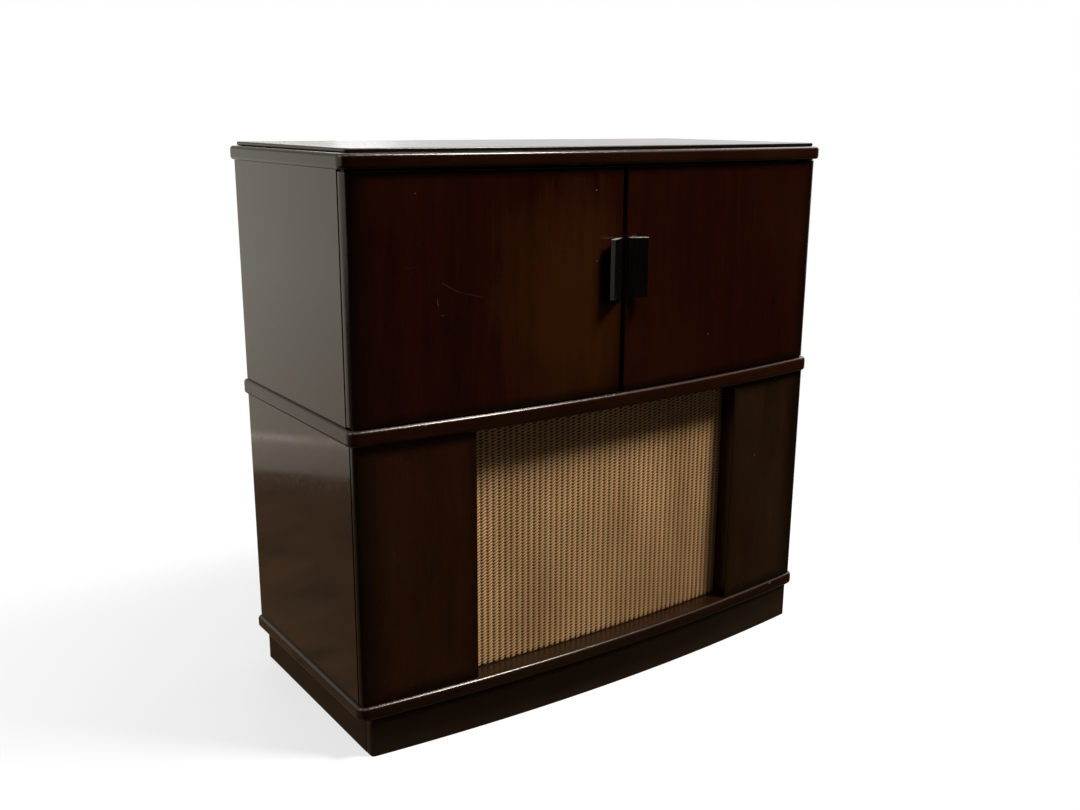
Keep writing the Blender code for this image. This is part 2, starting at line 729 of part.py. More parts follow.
def build_mains_inlet():
    """Moulded two-pole inlet block, its flange flat on the outside of the upper back."""
    x, z = inlet_centre()
    outside = BACK_FACE_Y + BACK_THICKNESS
    half_width, half_height = INLET_WIDTH / 2, INLET_HEIGHT / 2
    body = box(
        "mains_inlet",
        (x - half_width, outside + FIT - INLET_DEPTH, z - half_height),
        (x + half_width, outside + FIT + INLET_FLANGE, z + half_height),
    )
    inlet = new_part("mains_inlet", body, BLACK_BAKELITE)
    flange = box(
        "inlet_flange",
        (x - half_width - INLET_LIP, outside + FIT, z - half_height - INLET_LIP),
        (x + half_width + INLET_LIP, outside + FIT + INLET_FLANGE, z + half_height + INLET_LIP),
    )
    join(inlet, flange)
    wall = INLET_SOCKET_WALL
    socket = box(
        "inlet_socket",
        (x - half_width + wall, outside + INLET_FLANGE - INLET_SOCKET, z - half_height + wall),
        (x + half_width - wall, BACK_Y, z + half_height - wall),
    )
    cut(inlet, socket)


def build_upper_inside():
    """Partition, door catch, control fascia, back rail and motor board of the upper compartment."""
    low, high = UPPER_Z + FIT, TOP_Z - FIT
    half = PARTITION_THICKNESS / 2
    door_inside = APEX_Y + DOOR_THICKNESS
    catch_back = door_inside + RUNNING_FIT + ROLLER_RADIUS + CATCH_DEPTH
    partition_front = catch_back + FIT
    partition = box("centre_partition", (-half, partition_front, low), (half, DECK_BACK_Y, high))
    new_part("centre_partition", partition, MAHOGANY)
    catch_top = TOP_Z - CATCH_DROP
    catch_low = (-CATCH_WIDTH / 2, catch_back - CATCH_DEPTH, catch_top - CATCH_HEIGHT)
    catch_high = (CATCH_WIDTH / 2, catch_back, catch_top)
    catch = new_part("door_catch", box("door_catch", catch_low, catch_high), BRASS)
    for side in (-1, 1):
        x, y = side * CATCH_WIDTH / 4, catch_back - CATCH_DEPTH
        low_end = (x, y, catch_top - CATCH_HEIGHT + ROLLER_MARGIN)
        high_end = (x, y, catch_top - ROLLER_MARGIN)
        join(catch, rod("roller", low_end, high_end, ROLLER_RADIUS))
    fascia_low = (BAY_LEFT, FASCIA_Y, low)
    fascia_high = (BAY_RIGHT, FASCIA_Y + FASCIA_THICKNESS, UPPER_Z + FASCIA_HEIGHT)
    fascia = new_part("control_fascia", box("control_fascia", fascia_low, fascia_high), INNER_VENEER)
    for x in knob_places().values():
        cut(fascia, control_hole(x, KNOB_SHAFT_RADIUS + FIT))
    cut(fascia, control_hole(switch_x(), SWITCH_BALL_RADIUS + FIT))
    rail_low = (BAY_LEFT, DECK_BACK_Y - RAIL_THICKNESS, UPPER_Z + FASCIA_HEIGHT - RAIL_HEIGHT)
    rail = box("motor_board_rail", rail_low, (BAY_RIGHT, DECK_BACK_Y, UPPER_Z + FASCIA_HEIGHT))
    new_part("motor_board_rail", rail, PALE_PLYWOOD)
    deck_low = (BAY_LEFT, FASCIA_Y, DECK_Z - MOTOR_BOARD_THICKNESS)
    deck_high = (BAY_RIGHT, DECK_BACK_Y, DECK_Z)
    deck = new_part("motor_board", box("motor_board", deck_low, deck_high), INNER_VENEER)
    cut(
        deck,
        deck_hole(SPINDLE_X, SPINDLE_Y, SPINDLE_RADIUS + FIT),
        deck_hole(*idler_centre(), IDLER_PIN_RADIUS + FIT),
        deck_hole(*pulley_centre(), MOTOR_NECK_RADIUS + FIT),
        deck_hole(ARM_X, ARM_Y, PILLAR_TAIL_RADIUS + FIT),
    )


def deck_hole(x, y, radius):
    """Cutter for an upright hole through the motor board."""
    depth = 2 * MOTOR_BOARD_THICKNESS
    return rod("deck_hole", (x, y, DECK_Z - depth), (x, y, DECK_Z + MOTOR_BOARD_THICKNESS), radius)


def control_hole(x, radius):
    """Cutter for a hole through the fascia at the height of the controls."""
    z = UPPER_Z + CONTROL_HEIGHT
    return rod("control_hole", (x, FASCIA_Y - FASCIA_THICKNESS, z), (x, chassis_front(), z), radius)


def along_drive(distance):
    """A point at a distance from the spindle, on the line of the idler and the motor."""
    return SPINDLE_X + distance * math.cos(DRIVE_ANGLE), SPINDLE_Y + distance * math.sin(DRIVE_ANGLE)


def rim_inner():
    return PLATTER_RADIUS - PLATTER_RIM


def idler_centre():
    return along_drive(rim_inner() - FIT - IDLER_RADIUS)


def pulley_centre():
    return along_drive(rim_inner() - 2 * FIT - 2 * IDLER_RADIUS - PULLEY_RADIUS)


def build_turntable():
    """Rim-driven turntable: fixed spindle, platter and mat, rubber idler, motor pulley and motor."""
    collar = FIT + SPINDLE_FLANGE
    shoulder = PLATTER_HEIGHT - FIT
    tip = PLATTER_HEIGHT + MAT_THICKNESS + SPINDLE_PIN_LENGTH
    tail = -MOTOR_BOARD_THICKNESS - SPINDLE_TAIL
    spindle_place = (SPINDLE_X, SPINDLE_Y, DECK_Z)
    turned(
        "platter_spindle",
        [
            (0.0, tip),
            (SPINDLE_TIP_RADIUS, tip),
            (SPINDLE_PIN_RADIUS, tip - SPINDLE_PIN_RADIUS),
            (SPINDLE_PIN_RADIUS, shoulder),
            (SPINDLE_RADIUS, shoulder),
            (SPINDLE_RADIUS, collar),
            (SPINDLE_FLANGE_RADIUS, collar),
            (SPINDLE_FLANGE_RADIUS, FIT),
            (SPINDLE_RADIUS, FIT),
            (SPINDLE_RADIUS, tail),
            (0.0, tail),
        ],
        STEEL,
        spindle_place,
    )
    bore = SPINDLE_RADIUS + FIT
    under = PLATTER_HEIGHT - PLATTER_PLATE
    platter = turned(
        "platter",
        [
            (PLATTER_RADIUS - PLATTER_CHAMFER, PLATTER_HEIGHT),
            (PLATTER_RADIUS, PLATTER_HEIGHT - PLATTER_CHAMFER),
            (PLATTER_RADIUS, PLATTER_RIM_GAP),
            (rim_inner(), PLATTER_RIM_GAP),
            (rim_inner(), under),
            (HUB_RADIUS, under),
            (HUB_RADIUS, collar + FIT),
            (bore, collar + FIT),
            (bore, PLATTER_HEIGHT),
        ],
        CREAM_ENAMEL,
        spindle_place,
        steps=LARGE_TURN_STEPS,
    )
    mat = turned(
        "platter_mat",
        [
            (PLATTER_RADIUS - MAT_MARGIN, PLATTER_HEIGHT + FIT + MAT_THICKNESS),
            (PLATTER_RADIUS - MAT_MARGIN, PLATTER_HEIGHT + FIT),
            (MAT_HOLE_RADIUS, PLATTER_HEIGHT + FIT),
            (MAT_HOLE_RADIUS, PLATTER_HEIGHT + FIT + MAT_THICKNESS),
        ],
        RUBBER,
        spindle_place,
        steps=LARGE_TURN_STEPS,
    )
    attach(mat, platter)
    top = IDLER_LIFT + IDLER_THICKNESS
    turned(
        "idler_wheel",
        [
            (0.0, top),
            (IDLER_RADIUS, top),
            (IDLER_RADIUS, IDLER_LIFT),
            (IDLER_HUB_RADIUS, IDLER_LIFT),
            (IDLER_HUB_RADIUS, FIT),
            (IDLER_PIN_RADIUS, FIT),
            (IDLER_PIN_RADIUS, -MOTOR_BOARD_THICKNESS),
            (0.0, -MOTOR_BOARD_THICKNESS),
        ],
        RUBBER,
        (*idler_centre(), DECK_Z),
    )
    pulley_top = IDLER_LIFT - PULLEY_OVERLAP + PULLEY_HEIGHT
    motor_top = -MOTOR_BOARD_THICKNESS - FIT
    turned(
        "motor_pulley",
        [
            (0.0, pulley_top),
            (PULLEY_RADIUS, pulley_top),
            (PULLEY_RADIUS, pulley_top - PULLEY_HEIGHT),
            (SHAFT_RADIUS, pulley_top - PULLEY_HEIGHT),
            (SHAFT_RADIUS, motor_top - SHAFT_ENGAGEMENT),
            (0.0, motor_top - SHAFT_ENGAGEMENT),
        ],
        BRASS,
        (*pulley_centre(), DECK_Z),
    )
    neck = motor_top + MOTOR_NECK
    shaft_bore = SHAFT_RADIUS + FIT
    shaft_floor = motor_top - SHAFT_ENGAGEMENT - FIT
    turned(
        "turntable_motor",
        [
            (shaft_bore, neck),
            (MOTOR_NECK_RADIUS, neck),
            (MOTOR_NECK_RADIUS, motor_top),
            (MOTOR_RADIUS, motor_top),
            (MOTOR_RADIUS, motor_top - MOTOR_HEIGHT),
            (shaft_bore, motor_top - MOTOR_HEIGHT),
            (shaft_bore, shaft_floor - FIT),
        ],
        PAINTED_STEEL,
        (*pulley_centre(), DECK_Z),
    )


def build_tonearm():
    """Pickup arm: a pillar, a yoke that swings on it, the arm and weight, the pickup head and its rest."""
    pillar_top = PILLAR_HEIGHT
    stub_bore = YOKE_STUB_RADIUS + FIT
    arm_place = (ARM_X, ARM_Y, DECK_Z)
    turned(
        "tonearm_pillar",
        [
            (stub_bore, pillar_top),
            (PILLAR_NECK_RADIUS, pillar_top),
            (PILLAR_NECK_RADIUS, FIT + PILLAR_FLANGE),
            (PILLAR_RADIUS, FIT + PILLAR_FLANGE - PILLAR_CHAMFER),
            (PILLAR_RADIUS, FIT),
            (PILLAR_TAIL_RADIUS, FIT),
            (PILLAR_TAIL_RADIUS, -MOTOR_BOARD_THICKNESS),
            (stub_bore, -MOTOR_BOARD_THICKNESS),
        ],
        STEEL,
        arm_place,
    )
    floor = pillar_top + FIT
    yoke = turned(
        "tonearm_yoke",
        [
            (0.0, floor + YOKE_FLOOR),
            (YOKE_RADIUS, floor + YOKE_FLOOR),
            (YOKE_RADIUS, floor),
            (YOKE_STUB_RADIUS, floor),
            (YOKE_STUB_RADIUS, floor - YOKE_STUB),
            (0.0, floor - YOKE_STUB),
        ],
        STEEL,
        arm_place,
    )
    cheek_top = DECK_Z + ARM_HEIGHT + ARM_RADIUS
    for side in (-1, 1):
        inside, outside = side * YOKE_GAP / 2, side * (YOKE_GAP / 2 + YOKE_CHEEK)
        low = (ARM_X + min(inside, outside), ARM_Y - ARM_RADIUS, DECK_Z + floor + YOKE_FLOOR / 2)
        high = (ARM_X + max(inside, outside), ARM_Y + ARM_RADIUS, cheek_top)
        join(yoke, box("cheek", low, high))
    height = DECK_Z + ARM_HEIGHT
    head_back = ARM_Y - ARM_LENGTH + HEAD_LENGTH
    arm = new_part(
        "tonearm",
        rod("tonearm", (ARM_X, head_back + FIT, height), (ARM_X, ARM_Y + ARM_TAIL, height), ARM_RADIUS),
        CREAM_ENAMEL,
    )
    trunnion = YOKE_GAP / 2 - FIT
    weight_end = ARM_Y + ARM_TAIL
    join(
        arm,
        rod(
            "trunnion",
            (ARM_X - trunnion, ARM_Y, height),
            (ARM_X + trunnion, ARM_Y, height),
            TRUNNION_RADIUS,
        ),
        rod(
            "weight",
            (ARM_X, weight_end - WEIGHT_LENGTH, height),
            (ARM_X, weight_end, height),
            WEIGHT_RADIUS,
            TURN_STEPS,
        ),
    )
    set_origin(arm, (ARM_X, ARM_Y, height))
    attach(arm, yoke)
    head_low = (ARM_X - HEAD_WIDTH / 2, ARM_Y - ARM_LENGTH, height - HEAD_HEIGHT / 2)
    head_high = (ARM_X + HEAD_WIDTH / 2, head_back, height + HEAD_HEIGHT / 2)
    head = new_part("pickup_head", box("pickup_head", head_low, head_high), CREAM_ENAMEL)
    needle_y = ARM_Y - ARM_LENGTH + HEAD_WIDTH / 2
    needle_top = (ARM_X, needle_y, height)
    join(head, rod("needle", needle_top, (ARM_X, needle_y, head_low[2] - NEEDLE_LENGTH), NEEDLE_RADIUS))
    attach(head, arm)
    rest_top = ARM_HEIGHT - ARM_RADIUS - FIT
    rest_place = (ARM_X, ARM_Y - REST_REACH, DECK_Z)
    rest = turned(
        "tonearm_rest",
        [
            (0.0, rest_top),
            (REST_RADIUS, rest_top),
            (REST_RADIUS, FIT + REST_FOOT),
            (REST_FOOT_RADIUS, FIT + REST_FOOT),
            (REST_FOOT_RADIUS, FIT),
            (0.0, FIT),
        ],
        STEEL,
        rest_place,
        steps=SMALL_TURN_STEPS,
    )
    saddle_x, saddle_y, _ = rest_place
    saddle = box(
        "saddle",
        (saddle_x - REST_SADDLE / 2, saddle_y - REST_RADIUS / 2, DECK_Z + rest_top - REST_FOOT),
        (saddle_x + REST_SADDLE / 2, saddle_y + REST_RADIUS / 2, DECK_Z + rest_top),
    )
    join(rest, saddle)


def knob_places():
    """Places of the knobs across the fascia, in front of the amplifier."""
    middle = chassis_left() + CHASSIS_WIDTH / 2
    return {"volume_knob": middle - CONTROL_PITCH, "tone_knob": middle}


def switch_x():
    return knob_places()["tone_knob"] + CONTROL_PITCH


def build_controls():
    """Volume and tone knobs on their shafts, the mains toggle and the speed lever."""
    z = UPPER_Z + CONTROL_HEIGHT
    shaft_end = chassis_front() - FIT - FASCIA_Y
    for name, x in knob_places().items():
        turned(
            name,
            [
                (0.0, shaft_end),
                (KNOB_SHAFT_RADIUS, shaft_end),
                (KNOB_SHAFT_RADIUS, -KNOB_GAP),
                (KNOB_RADIUS, -KNOB_GAP),
                (KNOB_FACE_RADIUS + KNOB_CHAMFER, -KNOB_GAP - KNOB_DEPTH + KNOB_CHAMFER),
                (KNOB_FACE_RADIUS, -KNOB_GAP - KNOB_DEPTH),
                (0.0, -KNOB_GAP - KNOB_DEPTH),
            ],
            BLACK_BAKELITE,
            (x, FASCIA_Y, z),
            upright=False,
            steps=TURN_STEPS,
        )
    pivot = Vector((switch_x(), FASCIA_Y, z))
    along = Vector((0.0, -math.cos(SWITCH_TILT), -math.sin(SWITCH_TILT)))
    lever = new_part("mains_switch_lever", ball("mains_switch_lever", pivot, SWITCH_BALL_RADIUS), STEEL)
    join(
        lever,
        rod("toggle", pivot, pivot + along * SWITCH_LENGTH, SWITCH_ROD_RADIUS),
        ball("toggle_tip", pivot + along * SWITCH_LENGTH, SWITCH_TIP_RADIUS),
    )
    set_origin(lever, pivot)
    x, y = SPINDLE_X + LEVER_X, FASCIA_Y + LEVER_SETBACK
    seat = DECK_Z + FIT
    boss = rod("speed_lever", (x, y, seat), (x, y, seat + LEVER_BOSS_HEIGHT), LEVER_BOSS_RADIUS, TURN_STEPS)
    speed = new_part("speed_lever", boss, BLACK_BAKELITE)
    blade = box(
        "blade",
        (x - LEVER_WIDTH / 2, y - LEVER_LENGTH, DECK_Z + FIT + LEVER_BOSS_HEIGHT - LEVER_THICKNESS),
        (x + LEVER_WIDTH / 2, y, DECK_Z + FIT + LEVER_BOSS_HEIGHT),
    )
    join(speed, blade)
    set_origin(speed, (x, y, DECK_Z))


def build_amplifier():
    """Valve amplifier: a folded steel chassis with a control plate, a mains transformer and two valves."""
    left, right = chassis_left(), chassis_left() + CHASSIS_WIDTH
    front, back = chassis_front(), chassis_front() + CHASSIS_DEPTH
    floor = UPPER_Z + FIT
    top = floor + CHASSIS_HEIGHT
    wall = CHASSIS_WALL
    chassis = new_part(
        "amplifier_chassis", box("amplifier_chassis", (left, front, floor), (right, back, top)), STEEL
    )
    hollow_low = (left + wall, front + wall, floor - wall)
    hollow = box("chassis_hollow", hollow_low, (right - wall, back - wall, top - wall))
    cut(chassis, hollow)
    plate_high = (right, front + wall, floor + CHASSIS_FRONT_HEIGHT)
    join(chassis, box("control_plate", (left, front, top - wall), plate_high))
    seat = top + FIT
    edge = TRANSFORMER_EDGE
    block_x, block_y = left + edge, back - edge - TRANSFORMER_DEPTH
    block = box(
        "mains_transformer",
        (block_x, block_y, seat),
        (block_x + TRANSFORMER_WIDTH, block_y + TRANSFORMER_DEPTH, seat + TRANSFORMER_HEIGHT),
    )
    transformer = new_part("mains_transformer", block, PAINTED_STEEL)
    bevel = transformer.modifiers.new("edges", "BEVEL")
    bevel.width = edge
    bevel.segments = 2
    valve_x = block_x + TRANSFORMER_WIDTH + VALVE_PITCH
    for i, name in enumerate(("rectifier_valve", "output_valve")):
        shoulder = VALVE_HEIGHT - VALVE_RADIUS
        turned(
            name,
            [
                (0.0, VALVE_HEIGHT),
                (VALVE_TIP_RADIUS, VALVE_HEIGHT - VALVE_TIP_RADIUS),
                (VALVE_RADIUS, shoulder),
                (VALVE_RADIUS, VALVE_BASE),
                (VALVE_BASE_RADIUS, VALVE_BASE),
                (VALVE_BASE_RADIUS, 0.0),
                (0.0, 0.0),
            ],
            GLASS,
            (valve_x + VALVE_PITCH * i, block_y + TRANSFORMER_DEPTH / 2, seat),
            steps=SMALL_TURN_STEPS,
        )


def build_record_rack():
    """Record rack in the right bay: upright dividers between the middle board and a shelf."""
    left, right = PARTITION_THICKNESS / 2 + FIT, INNER_X - FIT
    shelf_z = TOP_Z - SHELF_DROP
    shelf = box(
        "record_shelf", (left, FASCIA_Y, shelf_z), (right, DECK_BACK_Y, shelf_z + SHELF_THICKNESS)
    )
    new_part("record_shelf", shelf, INNER_VENEER)
    for i in range(1, DIVIDERS + 1):
        x = left + (right - left) * i / (DIVIDERS + 1)
        low = (x - DIVIDER_THICKNESS / 2, FASCIA_Y, UPPER_Z + FIT)
        high = (x + DIVIDER_THICKNESS / 2, DECK_BACK_Y, shelf_z - FIT)
        name = f"record_divider_{i}"
        new_part(name, box(name, low, high), INNER_VENEER)


def handle_outline():
    """Plan of the right handle: a foot on the door and a plate that slants out to a square-cut end."""
    root = HANDLE_INSET
    foot = root + HANDLE_FOOT
    inner = Vector((root, bow_y(root) - HANDLE_ROOT_HEIGHT))
    front = Vector((root + HANDLE_FACE, APEX_Y - HANDLE_STANDOFF))
    along = (front - inner).normalized()
    back = front + Vector((-along.y, along.x)) * HANDLE_END
    start = back - along * HANDLE_LIP
    end = Vector((foot, bow_y(foot) - FIT))
    bend = Vector((foot + HANDLE_FOOT / 3, (start.y + 2 * end.y) / 3))
    hollow = []
    for i in range(HOLLOW_STEPS + 1):
        t = i / HOLLOW_STEPS
        hollow.append(tuple(start * (1 - t) ** 2 + bend * 2 * t * (1 - t) + end * t * t))
    return [(root, bow_y(root) - FIT), tuple(inner), tuple(front), tuple(back)] + hollow


def build_doors():
    """Two bowed doors on pivot pins at their outer edges, each with its moulded handle."""
    low, high = UPPER_Z + DOOR_END_GAP, TOP_Z - DOOR_END_GAP
    door = bowed_strip(
        -HALF_WIDTH,
        -DOOR_MEETING_GAP / 2,
        0.0,
        DOOR_THICKNESS,
        (DOOR_EDGE_ROUND, DOOR_MEETING_ROUND),
        (DOOR_BACK_ROUND, 0.0),
    )
    handle_top = TOP_Z - HANDLE_DROP
    for side, sign in (("left", -1), ("right", 1)):
        axis_x, axis_y = sign * (HALF_WIDTH - PIVOT_INSET), FRONT_Y + PIVOT_SETBACK
        name = f"door_{side}"
        leaf = new_part(name, extruded(name, door if sign < 0 else mirrored(door), low, high), MAHOGANY)
        bore = PIVOT_PIN_RADIUS + FIT
        depth = PIVOT_PIN_LENGTH + FIT
        cut(
            leaf,
            rod("lower_bore", (axis_x, axis_y, UPPER_Z), (axis_x, axis_y, low + depth), bore),
            rod("upper_bore", (axis_x, axis_y, high - depth), (axis_x, axis_y, TOP_Z), bore),
        )
        set_origin(leaf, (axis_x, axis_y, low))
        handle_name = f"handle_{side}"
        outline = handle_outline()
        grip = extruded(
            handle_name, outline if sign > 0 else mirrored(outline), handle_top - HANDLE_HEIGHT, handle_top
        )
        round_rims(grip, HANDLE_EDGE_ROUND)
        handle = new_part(handle_name, grip, BLACK_BAKELITE)
        attach(handle, leaf)
        for end, seat, inward in (("lower", UPPER_Z + FIT, 1), ("upper", TOP_Z - FIT, -1)):
            build_pivot(f"{side}_{end}_pivot", axis_x, axis_y, seat, sign, inward)


def build_pivot(name, axis_x, axis_y, seat, sign, inward):
    """Brass pivot: a plate on the board and a pin that stands into the end of the door."""
    face = seat + inward * PIVOT_PLATE_THICKNESS
    outer = axis_x + sign * PIVOT_PLATE_LEAD
    inner = outer - sign * PIVOT_PLATE_LENGTH
    half = PIVOT_PLATE_WIDTH / 2
    plate = box(
        name,
        (min(outer, inner), axis_y - half, min(seat, face)),
        (max(outer, inner), axis_y + half, max(seat, face)),
    )
    pivot = new_part(name, plate, BRASS)
    tip = face + inward * PIVOT_PIN_LENGTH
    join(pivot, rod("pin", (axis_x, axis_y, (seat + face) / 2), (axis_x, axis_y, tip), PIVOT_PIN_RADIUS))


build_plinth()
build_boards()
build_sides()
build_lower_front()
build_grille()
build_loudspeaker()
build_backs()
build_mains_inlet()
build_upper_inside()
build_turntable()
build_tonearm()
build_controls()
build_amplifier()
build_record_rack()
build_doors()
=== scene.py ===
"""Looks of a bow-fronted gramophone cabinet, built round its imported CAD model.

Metres, +Z up. The front faces -Y, and the origin is on the floor at the middle of the footprint.
"""

import math

import bmesh
import bpy
from mathutils import Matrix, Vector


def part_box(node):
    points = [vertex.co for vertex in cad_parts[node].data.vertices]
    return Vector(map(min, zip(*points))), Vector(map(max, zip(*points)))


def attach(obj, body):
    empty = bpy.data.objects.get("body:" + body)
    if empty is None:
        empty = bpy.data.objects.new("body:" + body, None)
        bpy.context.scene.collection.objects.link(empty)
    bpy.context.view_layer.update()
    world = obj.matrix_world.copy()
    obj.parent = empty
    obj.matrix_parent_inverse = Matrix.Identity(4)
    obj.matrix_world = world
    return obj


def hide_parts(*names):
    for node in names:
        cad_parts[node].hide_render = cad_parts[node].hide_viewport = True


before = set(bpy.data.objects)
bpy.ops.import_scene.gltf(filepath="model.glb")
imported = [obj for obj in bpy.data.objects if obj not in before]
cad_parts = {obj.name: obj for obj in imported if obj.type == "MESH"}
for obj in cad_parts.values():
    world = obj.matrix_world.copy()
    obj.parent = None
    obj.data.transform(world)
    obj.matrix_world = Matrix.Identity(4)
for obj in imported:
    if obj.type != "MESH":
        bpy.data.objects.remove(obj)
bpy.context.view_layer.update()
scene = bpy.context.scene

# Camera
# It stands left of the middle at eye height for a seated person, so the left side and the front both show.
# Its place and lens were worked out from the straight edges in the photograph.
CAMERA_PLACE = Vector((-1.2125, -1.6822, 1.0242))
CAMERA_YAW = math.radians(-35.385)
CAMERA_PITCH = math.radians(14.508)
CAMERA_ROLL = math.radians(0.417)
SENSOR_WIDTH = 36.0
FOCAL_SHARE = 1118.4 / 1080

camera_data = bpy.data.cameras.new("camera")
camera_data.sensor_fit = "HORIZONTAL"
camera_data.sensor_width = SENSOR_WIDTH
camera_data.lens = SENSOR_WIDTH * FOCAL_SHARE
camera = bpy.data.objects.new("camera", camera_data)
scene.collection.objects.link(camera)
level = Matrix.Rotation(CAMERA_YAW, 4, "Z") @ Matrix.Rotation(math.pi / 2 - CAMERA_PITCH, 4, "X")
camera.matrix_world = Matrix.Translation(CAMERA_PLACE) @ level @ Matrix.Rotation(CAMERA_ROLL, 4, "Z")
scene.camera = camera
scene.view_settings.view_transform = "Standard"

# Studio
# A white floor and surround, a soft lamp high at the front right, and weaker ones all round. Cards that only
# reflections see stand for the room: dark in front, a brown floor, and a warm pale wall at the back left.
FLOOR_SIZE = 24.0
FLOOR_PALE = (0.96, 0.96, 0.96)
FLOOR_BOUNCE = (0.07, 0.068, 0.065)
FLOOR_GLOW = 0.70
GLOW_START, GLOW_FULL = 0.55, 1.5
SURROUND_LIGHT = 0.016
WHITE = (1.0, 1.0, 1.0)
LAMPS = {
    "key_lamp": (Vector((1.62, -1.70, 4.32)), 1.0, 308.0),
    "fill_lamp": (Vector((-1.6, -1.5, 3.8)), 1.6, 20.0),
    "left_lamp": (Vector((-2.9, 0.6, 2.6)), 1.6, 25.0),
    "right_lamp": (Vector((2.9, 0.8, 2.4)), 1.6, 18.0),
    "back_lamp": (Vector((0.4, 2.9, 2.4)), 1.8, 40.0),
}
AIM = Vector((0.0, 0.0, 0.5))


def add(tree, kind, inputs=None, **settings):
    """Adds a shader node; each input is a value, a colour, or another node's output to link."""
    node = tree.nodes.new(kind)
    for key, value in settings.items():
        setattr(node, key, value)
    for key, value in (inputs or {}).items():
        socket = node.inputs[key]
        if isinstance(value, bpy.types.NodeSocket):
            tree.links.new(value, socket)
        else:
            socket.default_value = (*value, 1.0) if socket.type == "RGBA" else value
    return node


def math_node(tree, operation, *values):
    return add(tree, "ShaderNodeMath", dict(enumerate(values)), operation=operation).outputs[0]


def times(tree, first, second):
    return math_node(tree, "MULTIPLY", first, second)


def vector_node(tree, operation, *values, output=0):
    return add(tree, "ShaderNodeVectorMath", dict(enumerate(values)), operation=operation).outputs[output]


def noise(tree, vector, scale, detail=2.0, **inputs):
    """Noise from 0 to 1, with its own stretch along each axis."""
    if isinstance(scale, tuple):
        vector, scale = vector_node(tree, "MULTIPLY", vector, scale), 1.0
    values = {"Vector": vector, "Scale": scale, "Detail": detail, **inputs}
    return add(tree, "ShaderNodeTexNoise", values).outputs[0]


def between(tree, value, low, high, start=0.0, end=1.0):
    """A value spread from one range to another, held at the ends."""
    values = {"Value": value, "From Min": low, "From Max": high, "To Min": start, "To Max": end}
    return add(tree, "ShaderNodeMapRange", values).outputs[0]


def mix_colour(tree, share, first, second):
    return add(tree, "ShaderNodeMix", {0: share, 6: first, 7: second}, data_type="RGBA").outputs[2]


def new_object(name, verts, faces):
    """Stores points and faces as a smooth-shaded object."""
    mesh = bpy.data.meshes.new(name)
    mesh.from_pydata(verts, [], faces)
    mesh.shade_smooth()
    piece = bpy.data.objects.new(name, mesh)
    scene.collection.objects.link(piece)
    return piece


def plain_material(name):
    """A new material with its tree, emptied down to the output."""
    material = bpy.data.materials.new(name)
    material.use_nodes = True
    tree = material.node_tree
    tree.nodes.remove(tree.nodes["Principled BSDF"])
    return material, tree, tree.nodes["Material Output"].inputs["Surface"]


def seen_directly(tree):
    """1 for the camera, and for mirror-like and clear surfaces, that look at the surround."""
    path = add(tree, "ShaderNodeLightPath").outputs
    seen = math_node(tree, "MAXIMUM", path["Is Camera Ray"], path["Is Glossy Ray"])
    return math_node(tree, "MAXIMUM", seen, path["Is Transmission Ray"])


world = bpy.data.worlds.new("surround")
world.use_nodes = True
world.cycles.sampling_method = "NONE"
scene.world = world
surround = world.node_tree
surround.nodes.clear()
strength = between(surround, seen_directly(surround), 0.0, 1.0, SURROUND_LIGHT)
white = add(surround, "ShaderNodeBackground", {"Strength": strength, "Color": WHITE})
add(surround, "ShaderNodeOutputWorld", {"Surface": white.outputs[0]})
for name, (place, size, power) in LAMPS.items():
    data = bpy.data.lights.new(name, "AREA")
    data.size = size
    data.energy = power
    lamp = bpy.data.objects.new(name, data)
    lamp.location = place
    lamp.rotation_euler = (AIM - place).to_track_quat("-Z", "Y").to_euler()
    scene.collection.objects.link(lamp)

half = FLOOR_SIZE / 2
corners = [(-half, -half, 0), (half, -half, 0), (half, half, 0), (-half, half, 0)]
floor = new_object("floor", corners, [(0, 1, 2, 3)])
floor_white, tree, surface = plain_material("floor_white")
place = add(tree, "ShaderNodeNewGeometry").outputs["Position"]
away = vector_node(tree, "LENGTH", place, output="Value")
seen = seen_directly(tree)
share = times(tree, between(tree, away, GLOW_START, GLOW_FULL, FLOOR_GLOW), seen)
paint = add(tree, "ShaderNodeBsdfDiffuse", {"Color": mix_colour(tree, seen, FLOOR_BOUNCE, FLOOR_PALE)})
lit = add(tree, "ShaderNodeEmission", {"Color": WHITE})
both = add(tree, "ShaderNodeMixShader", {0: share, 1: paint.outputs[0], 2: lit.outputs[0]})
tree.links.new(both.outputs[0], surface)
floor.data.materials.append(floor_white)
floor.visible_glossy = False

ROOM_FRONT, ROOM_BACK, ROOM_SIDE, ROOM_TOP = -5.0, 4.6, 6.0, 4.5
DARK_EDGE_Y = -0.24
DARK_LEFT_Y, DARK_RIGHT_Y = -1.45, -0.30
WALL_START, WALL_END = (-1.70, 0.49), (1.66, 4.43)
WALL_FADE = (0.0, 0.6)
PALE_TOP = 1.15
SKIRTING_LOW, SKIRTING_HIGH, SKIRTING_STAND = 0.098, 0.116, 0.004
LIFT = 0.001
CARD_BROWN = (0.245, 0.142, 0.080)
CARD_BROWN_DARK = (0.135, 0.094, 0.056)
CARD_BLACK = (0.012, 0.009, 0.006)
CARD_DIM = (0.040, 0.024, 0.014)
DIM_FADE = (0.2, 3.0)
WALL_LOW = (0.62, 0.54, 0.45)
WALL_HIGH = (0.93, 0.90, 0.795)
WALL_TOP = (0.42, 0.415, 0.385)
SKIRTING_HIGHLIGHT = (1.5, 1.34, 1.13)


